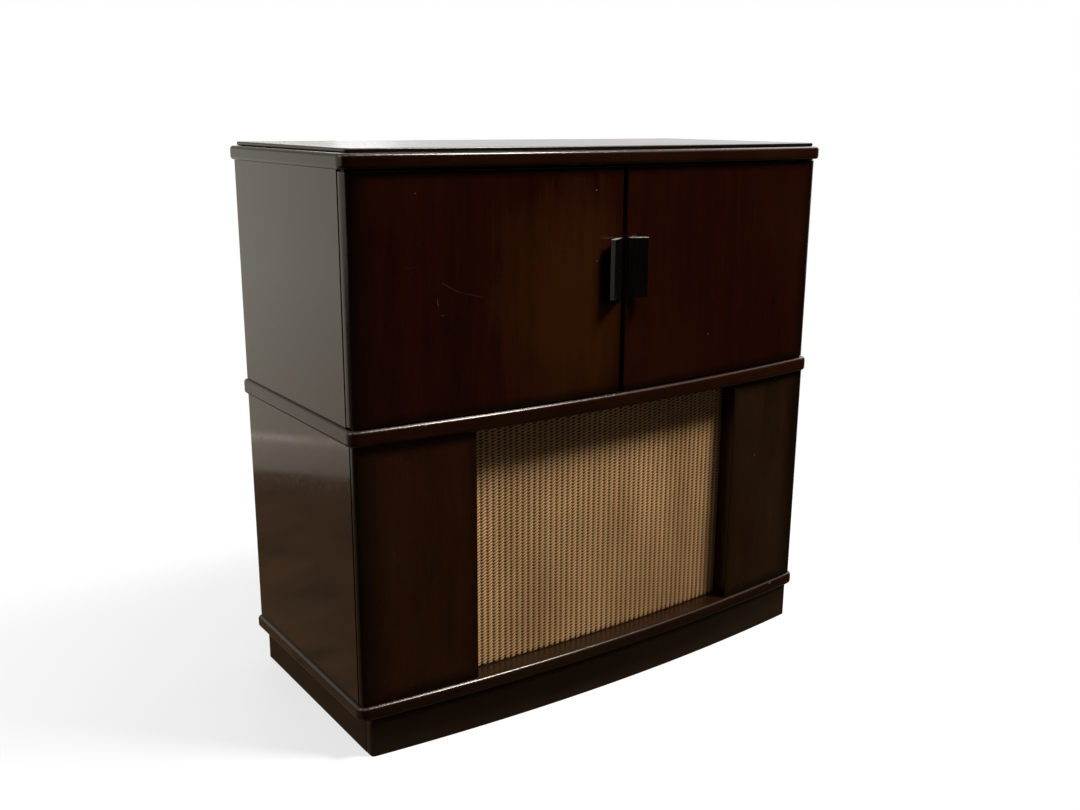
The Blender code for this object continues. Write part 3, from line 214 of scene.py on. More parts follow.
def add_card(name, corners, colour, second=None, fade=None, axis=2):
    """A flat card that only reflections see; a second colour fades in along an axis, or lies in clouds."""
    card = new_object(name, corners, [tuple(range(len(corners)))])
    material, tree, surface = plain_material(name)
    if second:
        place = add(tree, "ShaderNodeNewGeometry").outputs["Position"]
        if fade:
            share = between(tree, add(tree, "ShaderNodeSeparateXYZ", {0: place}).outputs[axis], *fade)
        else:
            share = between(tree, noise(tree, place, 9.0, 4.0), 0.36, 0.64)
        colour = mix_colour(tree, share, colour, second)
    tree.links.new(add(tree, "ShaderNodeEmission", {"Color": colour}).outputs[0], surface)
    card.data.materials.append(material)
    card.visible_camera = card.visible_diffuse = card.visible_shadow = card.visible_transmission = False


def floor_area(front, back):
    """Corners of a card that lies on the floor across the room."""
    left, right = -ROOM_SIDE, ROOM_SIDE
    return [(left, front, LIFT), (right, front, LIFT), (right, back, LIFT), (left, back, LIFT)]


def wall(start, end, bottom=0.0, top=ROOM_TOP):
    """Corners of an upright card over two points of the floor."""
    return [(*start, bottom), (*end, bottom), (*end, top), (*start, top)]


left_front, right_front = (-ROOM_SIDE, ROOM_FRONT), (ROOM_SIDE, ROOM_FRONT)
add_card("front_floor_card", floor_area(ROOM_FRONT, DARK_EDGE_Y), CARD_DIM, CARD_BLACK, DIM_FADE, 0)
add_card("side_floor_card", floor_area(DARK_EDGE_Y, ROOM_BACK), CARD_BROWN, CARD_BROWN_DARK)
add_card("front_wall_card", wall(left_front, right_front), CARD_BLACK)
add_card("left_wall_card", wall(left_front, (-ROOM_SIDE, DARK_LEFT_Y)), CARD_BLACK)
add_card("right_wall_card", wall(right_front, (ROOM_SIDE, DARK_RIGHT_Y)), CARD_BLACK)
add_card("pale_wall_card", wall(WALL_START, WALL_END, 0.0, PALE_TOP), WALL_LOW, WALL_HIGH, WALL_FADE)
add_card("upper_wall_card", wall(WALL_START, WALL_END, PALE_TOP), WALL_TOP)
nearer = [(x + SKIRTING_STAND, y - SKIRTING_STAND) for x, y in (WALL_START, WALL_END)]
# Painted highlight: a strip brighter than white along the skirting's top, for light catching its edge in the
# reflected room.
add_card("skirting_highlight_card", wall(*nearer, SKIRTING_LOW, SKIRTING_HIGH), SKIRTING_HIGHLIGHT)

# Plinth
# Four stained boards on the floor, set back under the base board; the front one is bent to the bow.
# They are glued and blocked together at the corners, and are duller than the case above.
HALF_WIDTH = 0.500
FRONT_BOW = 0.0305
BOARD_OVERHANG = 0.0065
BACK_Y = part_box("base_board")[1][1]
APEX_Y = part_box("base_board")[0][1] + BOARD_OVERHANG
BOW_RADIUS = (HALF_WIDTH ** 2 + FRONT_BOW ** 2) / (2 * FRONT_BOW)
BOW_CENTRE_Y = APEX_Y + BOW_RADIUS
BOW_STEPS = 72
CORNER_STEPS = 8
EDGE_STEPS = 5
RIM_SHARP, CAD_SHARP = 50, 40
PLINTH_CORNER = 0.008
PLINTH_BACK_CORNER = 0.002
PLINTH_EDGE = 0.0012
PLINTH_OUTWARD = 0.002
PLINTH_THICKNESS = 0.020


def bow_y(x, outward=0.0):
    """Depth of the bowed front at x, moved outwards by a distance."""
    return BOW_CENTRE_Y - math.sqrt((BOW_RADIUS + outward) ** 2 - x * x)


def arc(centre, radius, start, end, steps):
    angles = [start + (end - start) * i / steps for i in range(steps + 1)]
    return [(centre[0] + radius * math.cos(a), centre[1] + radius * math.sin(a)) for a in angles]


def bowed_edge(left, right, outward, left_round, right_round, hollow=False):
    """A bowed edge with round ends: the front from left to right, or the hollow back from right to left."""
    side = 1 if hollow else -1
    radius = BOW_RADIUS + outward
    ends = []
    for x, r in ((left + left_round, left_round), (right - right_round, right_round)):
        turn = math.asin(x / (radius + side * r)) - math.pi / 2
        ends.append(((x, bow_y(x, outward + side * r)), r, turn))
    (left_centre, left_r, left_turn), (right_centre, right_r, right_turn) = ends
    middle = arc((0.0, BOW_CENTRE_Y), radius, left_turn, right_turn, BOW_STEPS)[1:-1]
    if hollow:
        points = arc(right_centre, right_r, 0.0, right_turn + math.pi, CORNER_STEPS) + middle[::-1]
        return points + arc(left_centre, left_r, left_turn + math.pi, math.pi, CORNER_STEPS)
    points = arc(left_centre, left_r, -math.pi, left_turn, CORNER_STEPS) + middle
    return points + arc(right_centre, right_r, right_turn, 0.0, CORNER_STEPS)


def bowed_strip(left, right, outward, thickness, front_rounds, back_rounds):
    """Plan of a board bent to the bow, as a function of how far its outline is drawn in."""

    def outline(inset):
        near = [r - inset for r in front_rounds]
        far = [r - inset for r in back_rounds]
        front = bowed_edge(left + inset, right - inset, outward - inset, *near)
        return front + bowed_edge(left + inset, right - inset, outward - thickness + inset, *far, hollow=True)

    return outline


def rounded_layers(low, high, radius, steps=EDGE_STEPS):
    """Heights, insets and edge shares of a board whose lower and upper rims are rounded."""
    turns = [math.pi / 2 * i / steps for i in range(steps + 1)]
    rims = [(radius * (1 - math.cos(a)), radius * (1 - math.sin(a)), math.sin(2 * a)) for a in turns]
    lower = [(low + rise, inset, edge) for rise, inset, edge in rims]
    return lower + [(high - rise, inset, edge) for rise, inset, edge in reversed(rims)]


def shade_evenly(piece, sharp):
    """Keeps edges sharp beyond an angle in degrees, and shades the rest by the larger faces."""
    piece.data.set_sharp_from_angle(angle=math.radians(sharp))
    piece.modifiers.new("even_shading", "WEIGHTED_NORMAL").keep_sharp = True


def raised(name, outline, layers):
    """A board with the plan outline, raised through the layers; its edge attribute is 1 on rounded rims."""
    rings = [[(x, y, z) for x, y in outline(inset)] for z, inset, _ in layers]
    count = len(rings[0])
    faces = [tuple(range(count))[::-1], tuple(range(count * (len(rings) - 1), count * len(rings)))]
    for ring in range(len(rings) - 1):
        base = ring * count
        for i in range(count):
            j = (i + 1) % count
            faces.append((base + i, base + j, base + count + j, base + count + i))
    piece = new_object(name, [point for ring in rings for point in ring], faces)
    edge = piece.data.attributes.new("edge", "FLOAT", "POINT")
    edge.data.foreach_set("value", [share for _, _, share in layers for _ in range(count)])
    shade_evenly(piece, RIM_SHARP)
    return piece


def dress(piece, material, body="cabinet", replaced=()):
    """Gives a new piece its finish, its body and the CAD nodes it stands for."""
    piece.data.materials.append(material)
    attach(piece, body)
    if replaced:
        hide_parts(*replaced)


def soften(node, material, width=0.0008, segments=2):
    """Keeps a CAD node, with its edges slightly rounded and a new finish."""
    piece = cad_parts[node]
    piece.data.materials.clear()
    piece.data.materials.append(material)
    if width > 0:
        bevel = piece.modifiers.new("soft_edges", "BEVEL")
        bevel.width = width
        bevel.segments = segments
        bevel.limit_method = "ANGLE"
        bevel.angle_limit = math.radians(CAD_SHARP)
    piece.data.shade_smooth()
    shade_evenly(piece, CAD_SHARP)


def new_group(name, inputs, outputs):
    """An empty shader node group with named sockets of a given kind."""
    group = bpy.data.node_groups.new(name, "ShaderNodeTree")
    for way, sockets in (("INPUT", inputs), ("OUTPUT", outputs)):
        for socket, kind in sockets.items():
            group.interface.new_socket(socket, in_out=way, socket_type=f"NodeSocket{kind}")
    return group, group.nodes.new("NodeGroupInput").outputs, group.nodes.new("NodeGroupOutput").inputs


def scaled(tree, value, share, plus):
    """A value times its share, added to another."""
    return math_node(tree, "MULTIPLY_ADD", value, share, plus)


def swayed(tree, value, middle, share, plus):
    """A value's distance from its middle times a share, added to another."""
    return scaled(tree, math_node(tree, "SUBTRACT", value, middle), share, plus)


def own_place(tree):
    return add(tree, "ShaderNodeTexCoord").outputs["Object"]


def group_node(tree, group, **inputs):
    return add(tree, "ShaderNodeGroup", inputs, node_tree=group).outputs


# Figure of sliced mahogany, with its grain along Z: broad ribbons, fine streaks, short pores and aged clouds
PORE_DARK = (0.0015, 0.0007, 0.0005)
figure, given, made = new_group(
    "mahogany_figure",
    {"Vector": "Vector", "Dark": "Color", "Light": "Color", "Aged": "Color"},
    {"Color": "Color", "Pores": "Float", "Clouds": "Float", "Tone": "Float"},
)
place = given["Vector"]
ribbon = noise(figure, place, (16.0, 16.0, 0.7), 4.0, Distortion=0.8)
streak = noise(figure, place, (210.0, 210.0, 5.0), 3.0)
blotch = noise(figure, place, (46.0, 46.0, 13.0), 4.0, Roughness=0.65)
clouds = noise(figure, place, (3.2, 3.2, 2.3), 3.0, Roughness=0.6)
pores = between(figure, noise(figure, place, (1700.0, 1700.0, 75.0), 1.0), 0.58, 0.74)
tone = scaled(figure, streak, 0.40, ribbon)
tone = swayed(figure, blotch, 0.5, 0.75, tone)
wood = mix_colour(figure, between(figure, tone, 0.34, 1.06), given["Dark"], given["Light"])
wood = mix_colour(figure, between(figure, clouds, 0.47, 0.72, 0.0, 0.75), wood, given["Aged"])
wood = mix_colour(figure, times(figure, pores, 0.55), wood, PORE_DARK)
for socket, value in (("Color", wood), ("Pores", pores), ("Clouds", clouds), ("Tone", tone)):
    figure.links.new(value, made[socket])

# Wear of old polish: hairline scratches, small pale chips, and rubbed rims
HAIRLINES = ((0.5, (900.0, 900.0, 5.0)), (-0.9, (700.0, 700.0, 7.0)), (1.35, (1100.0, 1100.0, 8.0)))
wear, given, made = new_group(
    "polish_wear",
    {"Vector": "Vector", "Edge": "Float", "Scratches": "Float", "Chips": "Float"},
    {"Scratch": "Float", "Chip": "Float"},
)
place = given["Vector"]
fine = []
for turn, stretch in HAIRLINES:
    mapping = {"Vector": place, "Rotation": (turn, turn * 0.8, turn)}
    crossed = add(wear, "ShaderNodeMapping", mapping).outputs[0]
    line = between(wear, noise(wear, crossed, stretch, 0.0), 0.755, 0.80)
    fine.append(times(wear, line, between(wear, noise(wear, crossed, 7.0, 1.0), 0.60, 0.72)))
scratch = math_node(wear, "MAXIMUM", math_node(wear, "MAXIMUM", fine[0], fine[1]), fine[2])
wear.links.new(times(wear, scratch, given["Scratches"]), made["Scratch"])
cells = add(wear, "ShaderNodeTexVoronoi", {"Vector": place, "Scale": 34.0}).outputs
ragged = scaled(wear, noise(wear, place, 420.0, 2.0), 0.07, cells["Distance"])
chosen = between(wear, noise(wear, cells["Position"], 300.0, 0.0), 0.69, 0.71)
speck = times(wear, between(wear, ragged, 0.085, 0.070), chosen)
rubbed = between(wear, noise(wear, place, 55.0, 5.0, Roughness=0.7), 0.66, 0.72)
chip = math_node(wear, "MAXIMUM", speck, times(wear, rubbed, given["Edge"]))
wear.links.new(times(wear, chip, given["Chips"]), made["Chip"])

# Shade towards the borders of a panel, where stain and polish have gathered
border, given, made = new_group(
    "border_shade",
    {"Vector": "Vector", "Low": "Vector", "High": "Vector", "Reach": "Vector"},
    {"Shade": "Float"},
)
place = given["Vector"]
from_low = vector_node(border, "SUBTRACT", place, given["Low"])
from_high = vector_node(border, "SUBTRACT", given["High"], place)
nearest = vector_node(border, "DIVIDE", vector_node(border, "MINIMUM", from_low, from_high), given["Reach"])
apart = add(border, "ShaderNodeSeparateXYZ", {0: nearest}).outputs
inside = math_node(border, "MINIMUM", apart[0], apart[2])
inside = scaled(border, noise(border, place, (9.0, 9.0, 4.0), 2.0), 0.5, inside)
border.links.new(between(border, inside, 0.40, 1.35, 1.0, 0.0), made["Shade"])

# One scratch through the polish, straight between two places on a front and broken along its length
SCORE_WIDTH = 0.0007
ON_FRONT = (1.0, 0.0, 1.0)
score, given, made = new_group(
    "polish_score", {"Vector": "Vector", "Start": "Vector", "End": "Vector"}, {"Score": "Float"}
)
place = given["Vector"]
from_start = vector_node(score, "SUBTRACT", place, given["Start"])
from_start = vector_node(score, "MULTIPLY", from_start, ON_FRONT)
run = vector_node(score, "MULTIPLY", vector_node(score, "SUBTRACT", given["End"], given["Start"]), ON_FRONT)
along = vector_node(score, "DOT_PRODUCT", from_start, run, output="Value")
along = math_node(score, "DIVIDE", along, vector_node(score, "DOT_PRODUCT", run, run, output="Value"))
reached = {0: run, "Scale": between(score, along, 0.0, 1.0)}
nearest = add(score, "ShaderNodeVectorMath", reached, operation="SCALE").outputs[0]
away = vector_node(score, "DISTANCE", from_start, nearest, output="Value")
broken = between(score, noise(score, place, 160.0, 2.0), 0.38, 0.56, 0.15, 1.0)
score.links.new(times(score, between(score, away, SCORE_WIDTH, SCORE_WIDTH * 0.4), broken), made["Score"])

GRAIN = {"z": (0.0, 0.0, 0.0), "x": (0.0, math.pi / 2, 0.0), "y": (math.pi / 2, 0.0, 0.0)}
MAHOGANY = ((0.0105, 0.0017, 0.0004), (0.0310, 0.0060, 0.0016), (0.0260, 0.0088, 0.0018))
POLISH_TINT = (1.0, 0.93, 0.82)
WORN = (0.125, 0.080, 0.050)
SUNNED = (0.0390, 0.0106, 0.0014)
# Painted shadow beside a handle: its near-black colour, the softness of its border, and how far it darkens.
HANDLE_SHADOW_DARK = (0.0010, 0.0006, 0.0004)
HANDLE_SHADOW_REACH = (0.008, 1.0, 0.010)
HANDLE_SHADOW_SHARE = 0.93
BORDER_DARK = (0.0022, 0.0010, 0.0005)
BORDER_SHARE = 0.86
HAIRLINE_SHARE = 0.16


def relief(tree, height, strength, depth):
    """A normal roughened by a height."""
    return add(tree, "ShaderNodeBump", {"Height": height, "Strength": strength, "Distance": depth}).outputs[0]


def finished(tree, surface, **values):
    """Ends a material in its shader; underscores in the names of its values stand for spaces."""
    values = {name.replace("_", " "): value for name, value in values.items()}
    tree.links.new(add(tree, "ShaderNodeBsdfPrincipled", values).outputs[0], surface)


def mahogany(
    name, grain="z", shift=(0.0, 0.0, 0.0), colours=MAHOGANY, gloss=0.17, index=1.5, wear_share=(1.0, 1.0),
    limits=None, reach=(0.03, 1.0, 0.03), sunned=None, handle_shadow=None, scored=(),
):
    """Polished mahogany veneer.

    Limits are the corners of a panel with darker borders, and sunned the middle and spread of a faded patch.
    The corners of a patch of painted shadow and dark reflection beside a handle come next, and scored gives
    the ends and strengths of scratches.
    """
    material, tree, surface = plain_material(name)
    place = own_place(tree)
    mapping = {"Vector": place, "Location": shift, "Rotation": GRAIN[grain]}
    grained = add(tree, "ShaderNodeMapping", mapping).outputs[0]
    wood = group_node(tree, figure, Vector=grained, Dark=colours[0], Light=colours[1], Aged=colours[2])
    edge = add(tree, "ShaderNodeAttribute", attribute_name="edge").outputs["Fac"]
    marks = group_node(tree, wear, Vector=grained, Edge=edge, Scratches=wear_share[0], Chips=wear_share[1])
    colour = wood["Color"]
    if sunned:
        middle, spread = sunned
        away = vector_node(tree, "DIVIDE", vector_node(tree, "SUBTRACT", place, middle), spread)
        away = scaled(tree, wood["Clouds"], -1.1, vector_node(tree, "LENGTH", away, output="Value"))
        away = swayed(tree, wood["Tone"], 0.7, -0.9, away)
        colour = mix_colour(tree, between(tree, away, 0.85, -0.1, 0.0, 0.84), colour, SUNNED)
    # Painted shadow: a patch beside a handle is darkened almost to black, standing for the handle's cast
    # shadow and its dark reflection in the polish.
    if handle_shadow:
        shade = group_node(tree, border, Vector=place, Low=handle_shadow[0], High=handle_shadow[1], Reach=HANDLE_SHADOW_REACH)
        share = scaled(tree, shade["Shade"], -HANDLE_SHADOW_SHARE, HANDLE_SHADOW_SHARE)
        colour = mix_colour(tree, share, colour, HANDLE_SHADOW_DARK)
    if limits:
        shade = group_node(tree, border, Vector=place, Low=limits[0], High=limits[1], Reach=reach)
        colour = mix_colour(tree, times(tree, shade["Shade"], BORDER_SHARE), colour, BORDER_DARK)
    colour = mix_colour(tree, times(tree, marks["Scratch"], HAIRLINE_SHARE), colour, WORN)
    colour = mix_colour(tree, marks["Chip"], colour, WORN)
    for start, end, strength in scored:
        line = group_node(tree, score, Vector=place, Start=start, End=end)
        colour = mix_colour(tree, times(tree, line["Score"], strength), colour, WORN)
    dull = scaled(tree, wood["Clouds"], 0.10, gloss - 0.05)
    dull = scaled(tree, marks["Chip"], 0.35, dull)
    ripple = noise(tree, grained, (7.0, 7.0, 4.0), 2.0)
    height = scaled(tree, wood["Pores"], -0.35, times(tree, ripple, 3.0))
    bump = relief(tree, scaled(tree, marks["Chip"], -1.0, height), 0.22, 0.0004)
    finished(
        tree, surface, Base_Color=colour, Roughness=dull, Normal=bump, Specular_Tint=POLISH_TINT, IOR=index
    )
    return material


STAINED = ((0.0048, 0.0019, 0.0008), (0.0118, 0.0050, 0.0021), (0.0104, 0.0064, 0.0027))
STAINED_POLISH, SIDE_POLISH = (0.36, 1.42), (0.36, 1.30)
STAINED_WEAR = (0.8, 1.3)
stained = mahogany("stained_plinth", "x", (0.3, 0.1, 0.2), STAINED, *STAINED_POLISH, STAINED_WEAR)
stained_sides = mahogany("stained_plinth_sides", "y", (0.1, 0.4, 0.0), STAINED, *SIDE_POLISH, STAINED_WEAR)
low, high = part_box("plinth_front")
rounds = (PLINTH_CORNER, PLINTH_CORNER), (PLINTH_BACK_CORNER, PLINTH_BACK_CORNER)
strip = bowed_strip(low[0], high[0], PLINTH_OUTWARD, PLINTH_THICKNESS, *rounds)
plinth = raised("plinth_front_board", strip, rounded_layers(low[2], high[2], PLINTH_EDGE, 3))
dress(plinth, stained, replaced=["plinth_front"])
soften("plinth_left", stained_sides)
soften("plinth_right", stained_sides)
soften("plinth_back", stained)

# Base, middle and top boards
# Solid-edged veneered boards that overhang the case, with bowed fronts and rounded corners and edges.
# The sides, panels and doors stand between them; the grain runs along the front.
BOARD_MAHOGANY = ((0.0085, 0.0018, 0.0005), (0.0225, 0.0052, 0.0016), (0.0190, 0.0072, 0.0018))
BASE_MAHOGANY = ((0.0085, 0.0027, 0.0010), (0.0210, 0.0082, 0.0032), (0.0185, 0.0098, 0.0036))
BOARDS = {"base_board": BASE_MAHOGANY, "middle_board": BOARD_MAHOGANY, "top_board": BOARD_MAHOGANY}
BOARD_CORNER = 0.019
BOARD_EDGE = 0.006
BOARD_GLOSS = 0.21
BOARD_INDEX = 1.45


def board_plan(overhang, corner):
    """Plan of a whole board, as a function of how far its outline is drawn in."""

    def outline(inset):
        reach = HALF_WIDTH + overhang - inset
        front = bowed_edge(-reach, reach, overhang - inset, corner - inset, corner - inset)
        return front + [(reach, BACK_Y), (-reach, BACK_Y)]

    return outline


for i, (node, colours) in enumerate(BOARDS.items()):
    low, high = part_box(node)
    shift = (0.7 * i, 0.2 * i, 0.35 * i)
    finish = mahogany(f"polished_{node}", "x", shift, colours, BOARD_GLOSS, BOARD_INDEX)
    layers = rounded_layers(low[2], high[2], BOARD_EDGE)
    board = raised(f"{node}_veneered", board_plan(BOARD_OVERHANG, BOARD_CORNER), layers)
    dress(board, finish, replaced=[node])

# Raised top panel
# A thin veneered panel laid on the top board and set in from its edge all round, which leaves a narrow step.
# Its rim is painted nearly black as shade, for the dark line under the raised edge.
PANEL_INSET = 0.0127
PANEL_EDGE = 0.0022
# Near-black painted shade for the panel's steep rim.
RIM_SHADE_DARK = ((0.0018, 0.0009, 0.0005), (0.0040, 0.0018, 0.0010), (0.0045, 0.0026, 0.0014))
PANEL_GLOSS, EDGE_GLOSS = 0.19, 0.3
PANEL_WEAR = (1.3, 1.0)
STEEP = 0.6
low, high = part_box("top_panel")
plan = board_plan(BOARD_OVERHANG - PANEL_INSET, BOARD_CORNER - PANEL_INSET)
panel = raised("top_panel_veneered", plan, rounded_layers(low[2], high[2], PANEL_EDGE, 4))
finish = mahogany("polished_top_panel", "x", (0.2, 0.9, 0.5), gloss=PANEL_GLOSS, wear_share=PANEL_WEAR)
dress(panel, finish, replaced=["top_panel"])
panel.data.materials.append(mahogany("panel_rim_painted_shade", "x", (0.6, 0.1, 0.4), RIM_SHADE_DARK, EDGE_GLOSS))
# The steep rim faces take the painted-shade finish.
for face in panel.data.polygons:
    face.material_index = int(abs(face.normal.z) < STEEP)

# Case sides
# Flat veneered panels between the boards, with upright grain, set just behind the front panels and the doors.
# Their polish is the glossiest of the case.
SIDE_GLOSS = 0.09
SIDE_EDGE = 0.0012
for i, node in enumerate(("lower_side_left", "lower_side_right", "upper_side_left", "upper_side_right")):
    finish = mahogany(f"polished_{node}", "z", (0.4 * i, 0.3 * i, 0.2 * i), gloss=SIDE_GLOSS)
    soften(node, finish, SIDE_EDGE, 3)

# Lower front panels and the returns of the recess
# Two fixed panels bent to the bow stand beside the grille, with rounded outer edges; narrow posts behind them
# close the sides of the recess.
SIDES = (("left", -1), ("right", 1))
LOWER_MAHOGANY = {
    "left": ((0.0120, 0.0031, 0.0009), (0.0350, 0.0096, 0.0028), (0.0335, 0.0135, 0.0042)),
    "right": ((0.0100, 0.0034, 0.0013), (0.0285, 0.0105, 0.0040), (0.0275, 0.0140, 0.0058)),
}
POST_MAHOGANY = ((0.0090, 0.0008, 0.0002), (0.0260, 0.0028, 0.0008), (0.0240, 0.0040, 0.0010))
LOWER_THICKNESS = 0.0123
LOWER_FRONT_ROUNDS, LOWER_BACK_ROUNDS = (0.010, 0.002), (0.002, 0.001)
LOWER_EDGE = 0.0006
LOWER_SHADE = (0.052, 1.0, 0.022)
LOWER_SPARE = 0.030


def shaded_limits(node, sign, spare):
    """Corners for the border shade of a panel, whose inner end is moved away so that it shades less."""
    low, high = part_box(node)
    left, right = (low[0], high[0] + spare) if sign < 0 else (low[0] - spare, high[0])
    return (left, low[1], low[2]), (right, high[1], high[2])


def bowed_panel(node, sign, finish, thickness, front_rounds, back_rounds, edge, body="cabinet"):
    """A veneered panel bent to the bow; its rounds are given with the outer end first."""
    low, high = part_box(node)
    strip = bowed_strip(low[0], high[0], 0.0, thickness, front_rounds[::-sign], back_rounds[::-sign])
    panel = raised(f"{node}_veneered", strip, rounded_layers(low[2], high[2], edge, 2))
    dress(panel, finish, body, [node])


post_finish = mahogany("polished_posts", "z", (0.3, 0.8, 0.1), POST_MAHOGANY)
for side, sign in SIDES:
    node = f"lower_front_{side}"
    limits, shift = shaded_limits(node, sign, LOWER_SPARE), (0.9 + sign, 0.6, 0.3 * sign)
    finish = mahogany(f"polished_{node}", "z", shift, LOWER_MAHOGANY[side], limits=limits, reach=LOWER_SHADE)
    bowed_panel(node, sign, finish, LOWER_THICKNESS, LOWER_FRONT_ROUNDS, LOWER_BACK_ROUNDS, LOWER_EDGE)
    soften(f"grille_post_{side}", post_finish, LOWER_EDGE)

# Grille cloth
# Ribbed cloth of twisted tan cord: upright ribs whose strands rise to the right, with small dark gaps between
# the ribs. It is stretched over the baffle and wrapped round its edges, and darker towards the lower right.
RIB_PITCH = 0.0116
ROW_PITCH = 0.0058
STRAND_RISE = 1.0
RIB_SHIFT = 0.5
RIB_DEPTH = 0.0024
GRILLE_RECESS = 0.034
RIB_COLUMNS = 6
ROW_POINTS = 4
END_ROUND = 0.004
CORD_PALE = (0.870, 0.520, 0.240)
CORD_DEEP = (0.180, 0.074, 0.017)
CORD_GAP = (0.062, 0.026, 0.008)
CORD_DARKER = (0.160, 0.076, 0.021)
CORD_EDGE = (0.640, 0.520, 0.390)
DARKER_SHARE = 0.54
SHADED_RIBS = (2.6, 1.2)
low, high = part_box("grille_cloth")
width, height = high[0] - low[0], high[2] - low[2]
ribs, rows = round(width / RIB_PITCH), round(height / ROW_PITCH)
columns, lines = ribs * RIB_COLUMNS, rows * ROW_POINTS
verts, faces = [], []
for j in range(lines + 1):
    z = low[2] + height * j / lines
    ending = min(1.0, min(z - low[2], high[2] - z) / END_ROUND)
    for i in range(columns + 1):
        x = low[0] + width * i / columns
        along = i / RIB_COLUMNS
        crown = abs(math.sin(math.pi * along)) ** 0.75
        turn = j / ROW_POINTS - STRAND_RISE * (along % 1) - RIB_SHIFT * math.floor(along)
        strand = abs(math.sin(math.pi * turn))
        depth = RIB_DEPTH * (1 - crown * (0.55 + 0.45 * strand) * math.sqrt(1 - (1 - ending) ** 2))
        verts.append((x, bow_y(x, -GRILLE_RECESS - depth), z))
for j in range(lines):
    for i in range(columns):
        a = j * (columns + 1) + i
        faces.append((a, a + 1, a + columns + 2, a + columns + 1))
cloth = new_object("grille_cloth_woven", verts, faces)

woven, tree, surface = plain_material("woven_grille_cloth")
place = own_place(tree)
across, _, upward = add(tree, "ShaderNodeSeparateXYZ", {0: place}).outputs
rib = math_node(tree, "DIVIDE", math_node(tree, "SUBTRACT", across, low[0]), width / ribs)
rise = math_node(tree, "SUBTRACT", upward, low[2])
row = math_node(tree, "DIVIDE", rise, height / rows)
in_rib, rib_number = math_node(tree, "FRACT", rib), math_node(tree, "FLOOR", rib)
crown = math_node(tree, "SINE", times(tree, in_rib, math.pi))
turn = scaled(tree, rib_number, -RIB_SHIFT, scaled(tree, in_rib, -STRAND_RISE, row))
strand = math_node(tree, "ABSOLUTE", math_node(tree, "SINE", times(tree, turn, math.pi)))
gap = times(tree, between(tree, crown, 0.86, 0.50), between(tree, strand, 0.92, 0.55))
foot = times(tree, between(tree, rise, 0.010, 0.003), between(tree, crown, 0.75, 0.45))
gap = math_node(tree, "MAXIMUM", gap, foot)
# Painted shade in the creases between the strands.
crease_shade = times(tree, between(tree, strand, 0.66, 0.22), 0.80)
fibre = noise(tree, place, (1400.0, 1400.0, 260.0), 3.0)
patch = noise(tree, place, (9.0, 9.0, 5.0), 3.0)
rib_place = add(tree, "ShaderNodeCombineXYZ", {0: rib_number}).outputs[0]
rib_tone = noise(tree, rib_place, (3.7, 1.0, 1.0), 0.0)
# Lightness of the cord: partly its own fibre and rib tone, partly painted shade of the weave's relief, with
# crowns lighter and valleys darker.
light = scaled(tree, crown, 0.25, times(tree, strand, 0.75))
light = swayed(tree, fibre, 0.5, 0.5, light)
light = swayed(tree, rib_tone, 0.5, 0.30, light)
cord = mix_colour(tree, between(tree, light, 0.25, 0.95), CORD_DEEP, CORD_PALE)
cord = mix_colour(tree, between(tree, rib, 1.0, 0.9, 0.0, 0.7), cord, CORD_EDGE)
cord = mix_colour(tree, crease_shade, cord, CORD_DEEP)
# Darker towards the lower right, in broad patches.
lower_right_darkening = swayed(tree, patch, 0.44, 1.4, across)
lower_right_darkening = scaled(tree, upward, -0.9, lower_right_darkening)
cord = mix_colour(tree, between(tree, lower_right_darkening, -0.55, 0.25, 0.0, DARKER_SHARE), cord, CORD_DARKER)
cord = mix_colour(tree, gap, cord, CORD_GAP)
shaded = between(tree, rib, ribs - SHADED_RIBS[0], ribs - SHADED_RIBS[1], 0.0, 0.92)
cord = mix_colour(tree, shaded, cord, CORD_GAP)
bump = relief(tree, math_node(tree, "SUBTRACT", scaled(tree, fibre, 0.3, strand), gap), 0.6, 0.0006)
finished(tree, surface, Base_Color=cord, Roughness=0.72, Normal=bump, Specular_IOR_Level=0.12)
dress(cloth, woven, replaced=["grille_cloth"])

# Doors
# Two bowed doors of veneered board, with a broad round on the outer edge and a fine one where they meet.
# They turn on pins in their outer ends. The left one is faded and scratched, with painted shadow and dark
# reflection beside its handle.
DOOR_THICKNESS = 0.0215
DOOR_FRONT_ROUNDS, DOOR_BACK_ROUNDS = (0.018, 0.002), (0.0025, 0.001)
DOOR_EDGE = 0.0009
DOOR_MAHOGANY = ((0.0075, 0.0009, 0.0003), (0.0240, 0.0033, 0.0010), (0.0220, 0.0046, 0.0013))
DOOR_SHADE = (0.040, 1.0, 0.016)
DOOR_SPARE = 0.035
low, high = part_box("handle_left")
LEFT_DOOR_MARKS = {
    "sunned": ((-0.108, 0.0, 0.71), (0.112, 10.0, 0.170)),
    # Corners of the painted shadow and dark reflection beside the left handle.
    "handle_shadow": ((-0.056, -9.0, low[2] - 0.014), (-0.004, 9.0, high[2] - 0.012)),
    "scored": (
        ((-0.348, 0.0, 0.774), (-0.321, 0.0, 0.759), 0.34),
        ((-0.321, 0.0, 0.759), (-0.276, 0.0, 0.747), 0.18),
        ((-0.357, 0.0, 0.751), (-0.3555, 0.0, 0.740), 0.70),
        ((-0.410, 0.0, 0.800), (-0.391, 0.0, 0.802), 0.16),
    ),
}
for side, sign in SIDES:
    node = f"door_{side}"
    marks = LEFT_DOOR_MARKS if side == "left" else {}
    limits, shift = shaded_limits(node, sign, DOOR_SPARE), (0.15 * sign, 0.5, 0.8 * sign)
    finish = mahogany(f"polished_{node}", "z", shift, DOOR_MAHOGANY, limits=limits, reach=DOOR_SHADE, **marks)
    bowed_panel(node, sign, finish, DOOR_THICKNESS, DOOR_FRONT_ROUNDS, DOOR_BACK_ROUNDS, DOOR_EDGE, node)

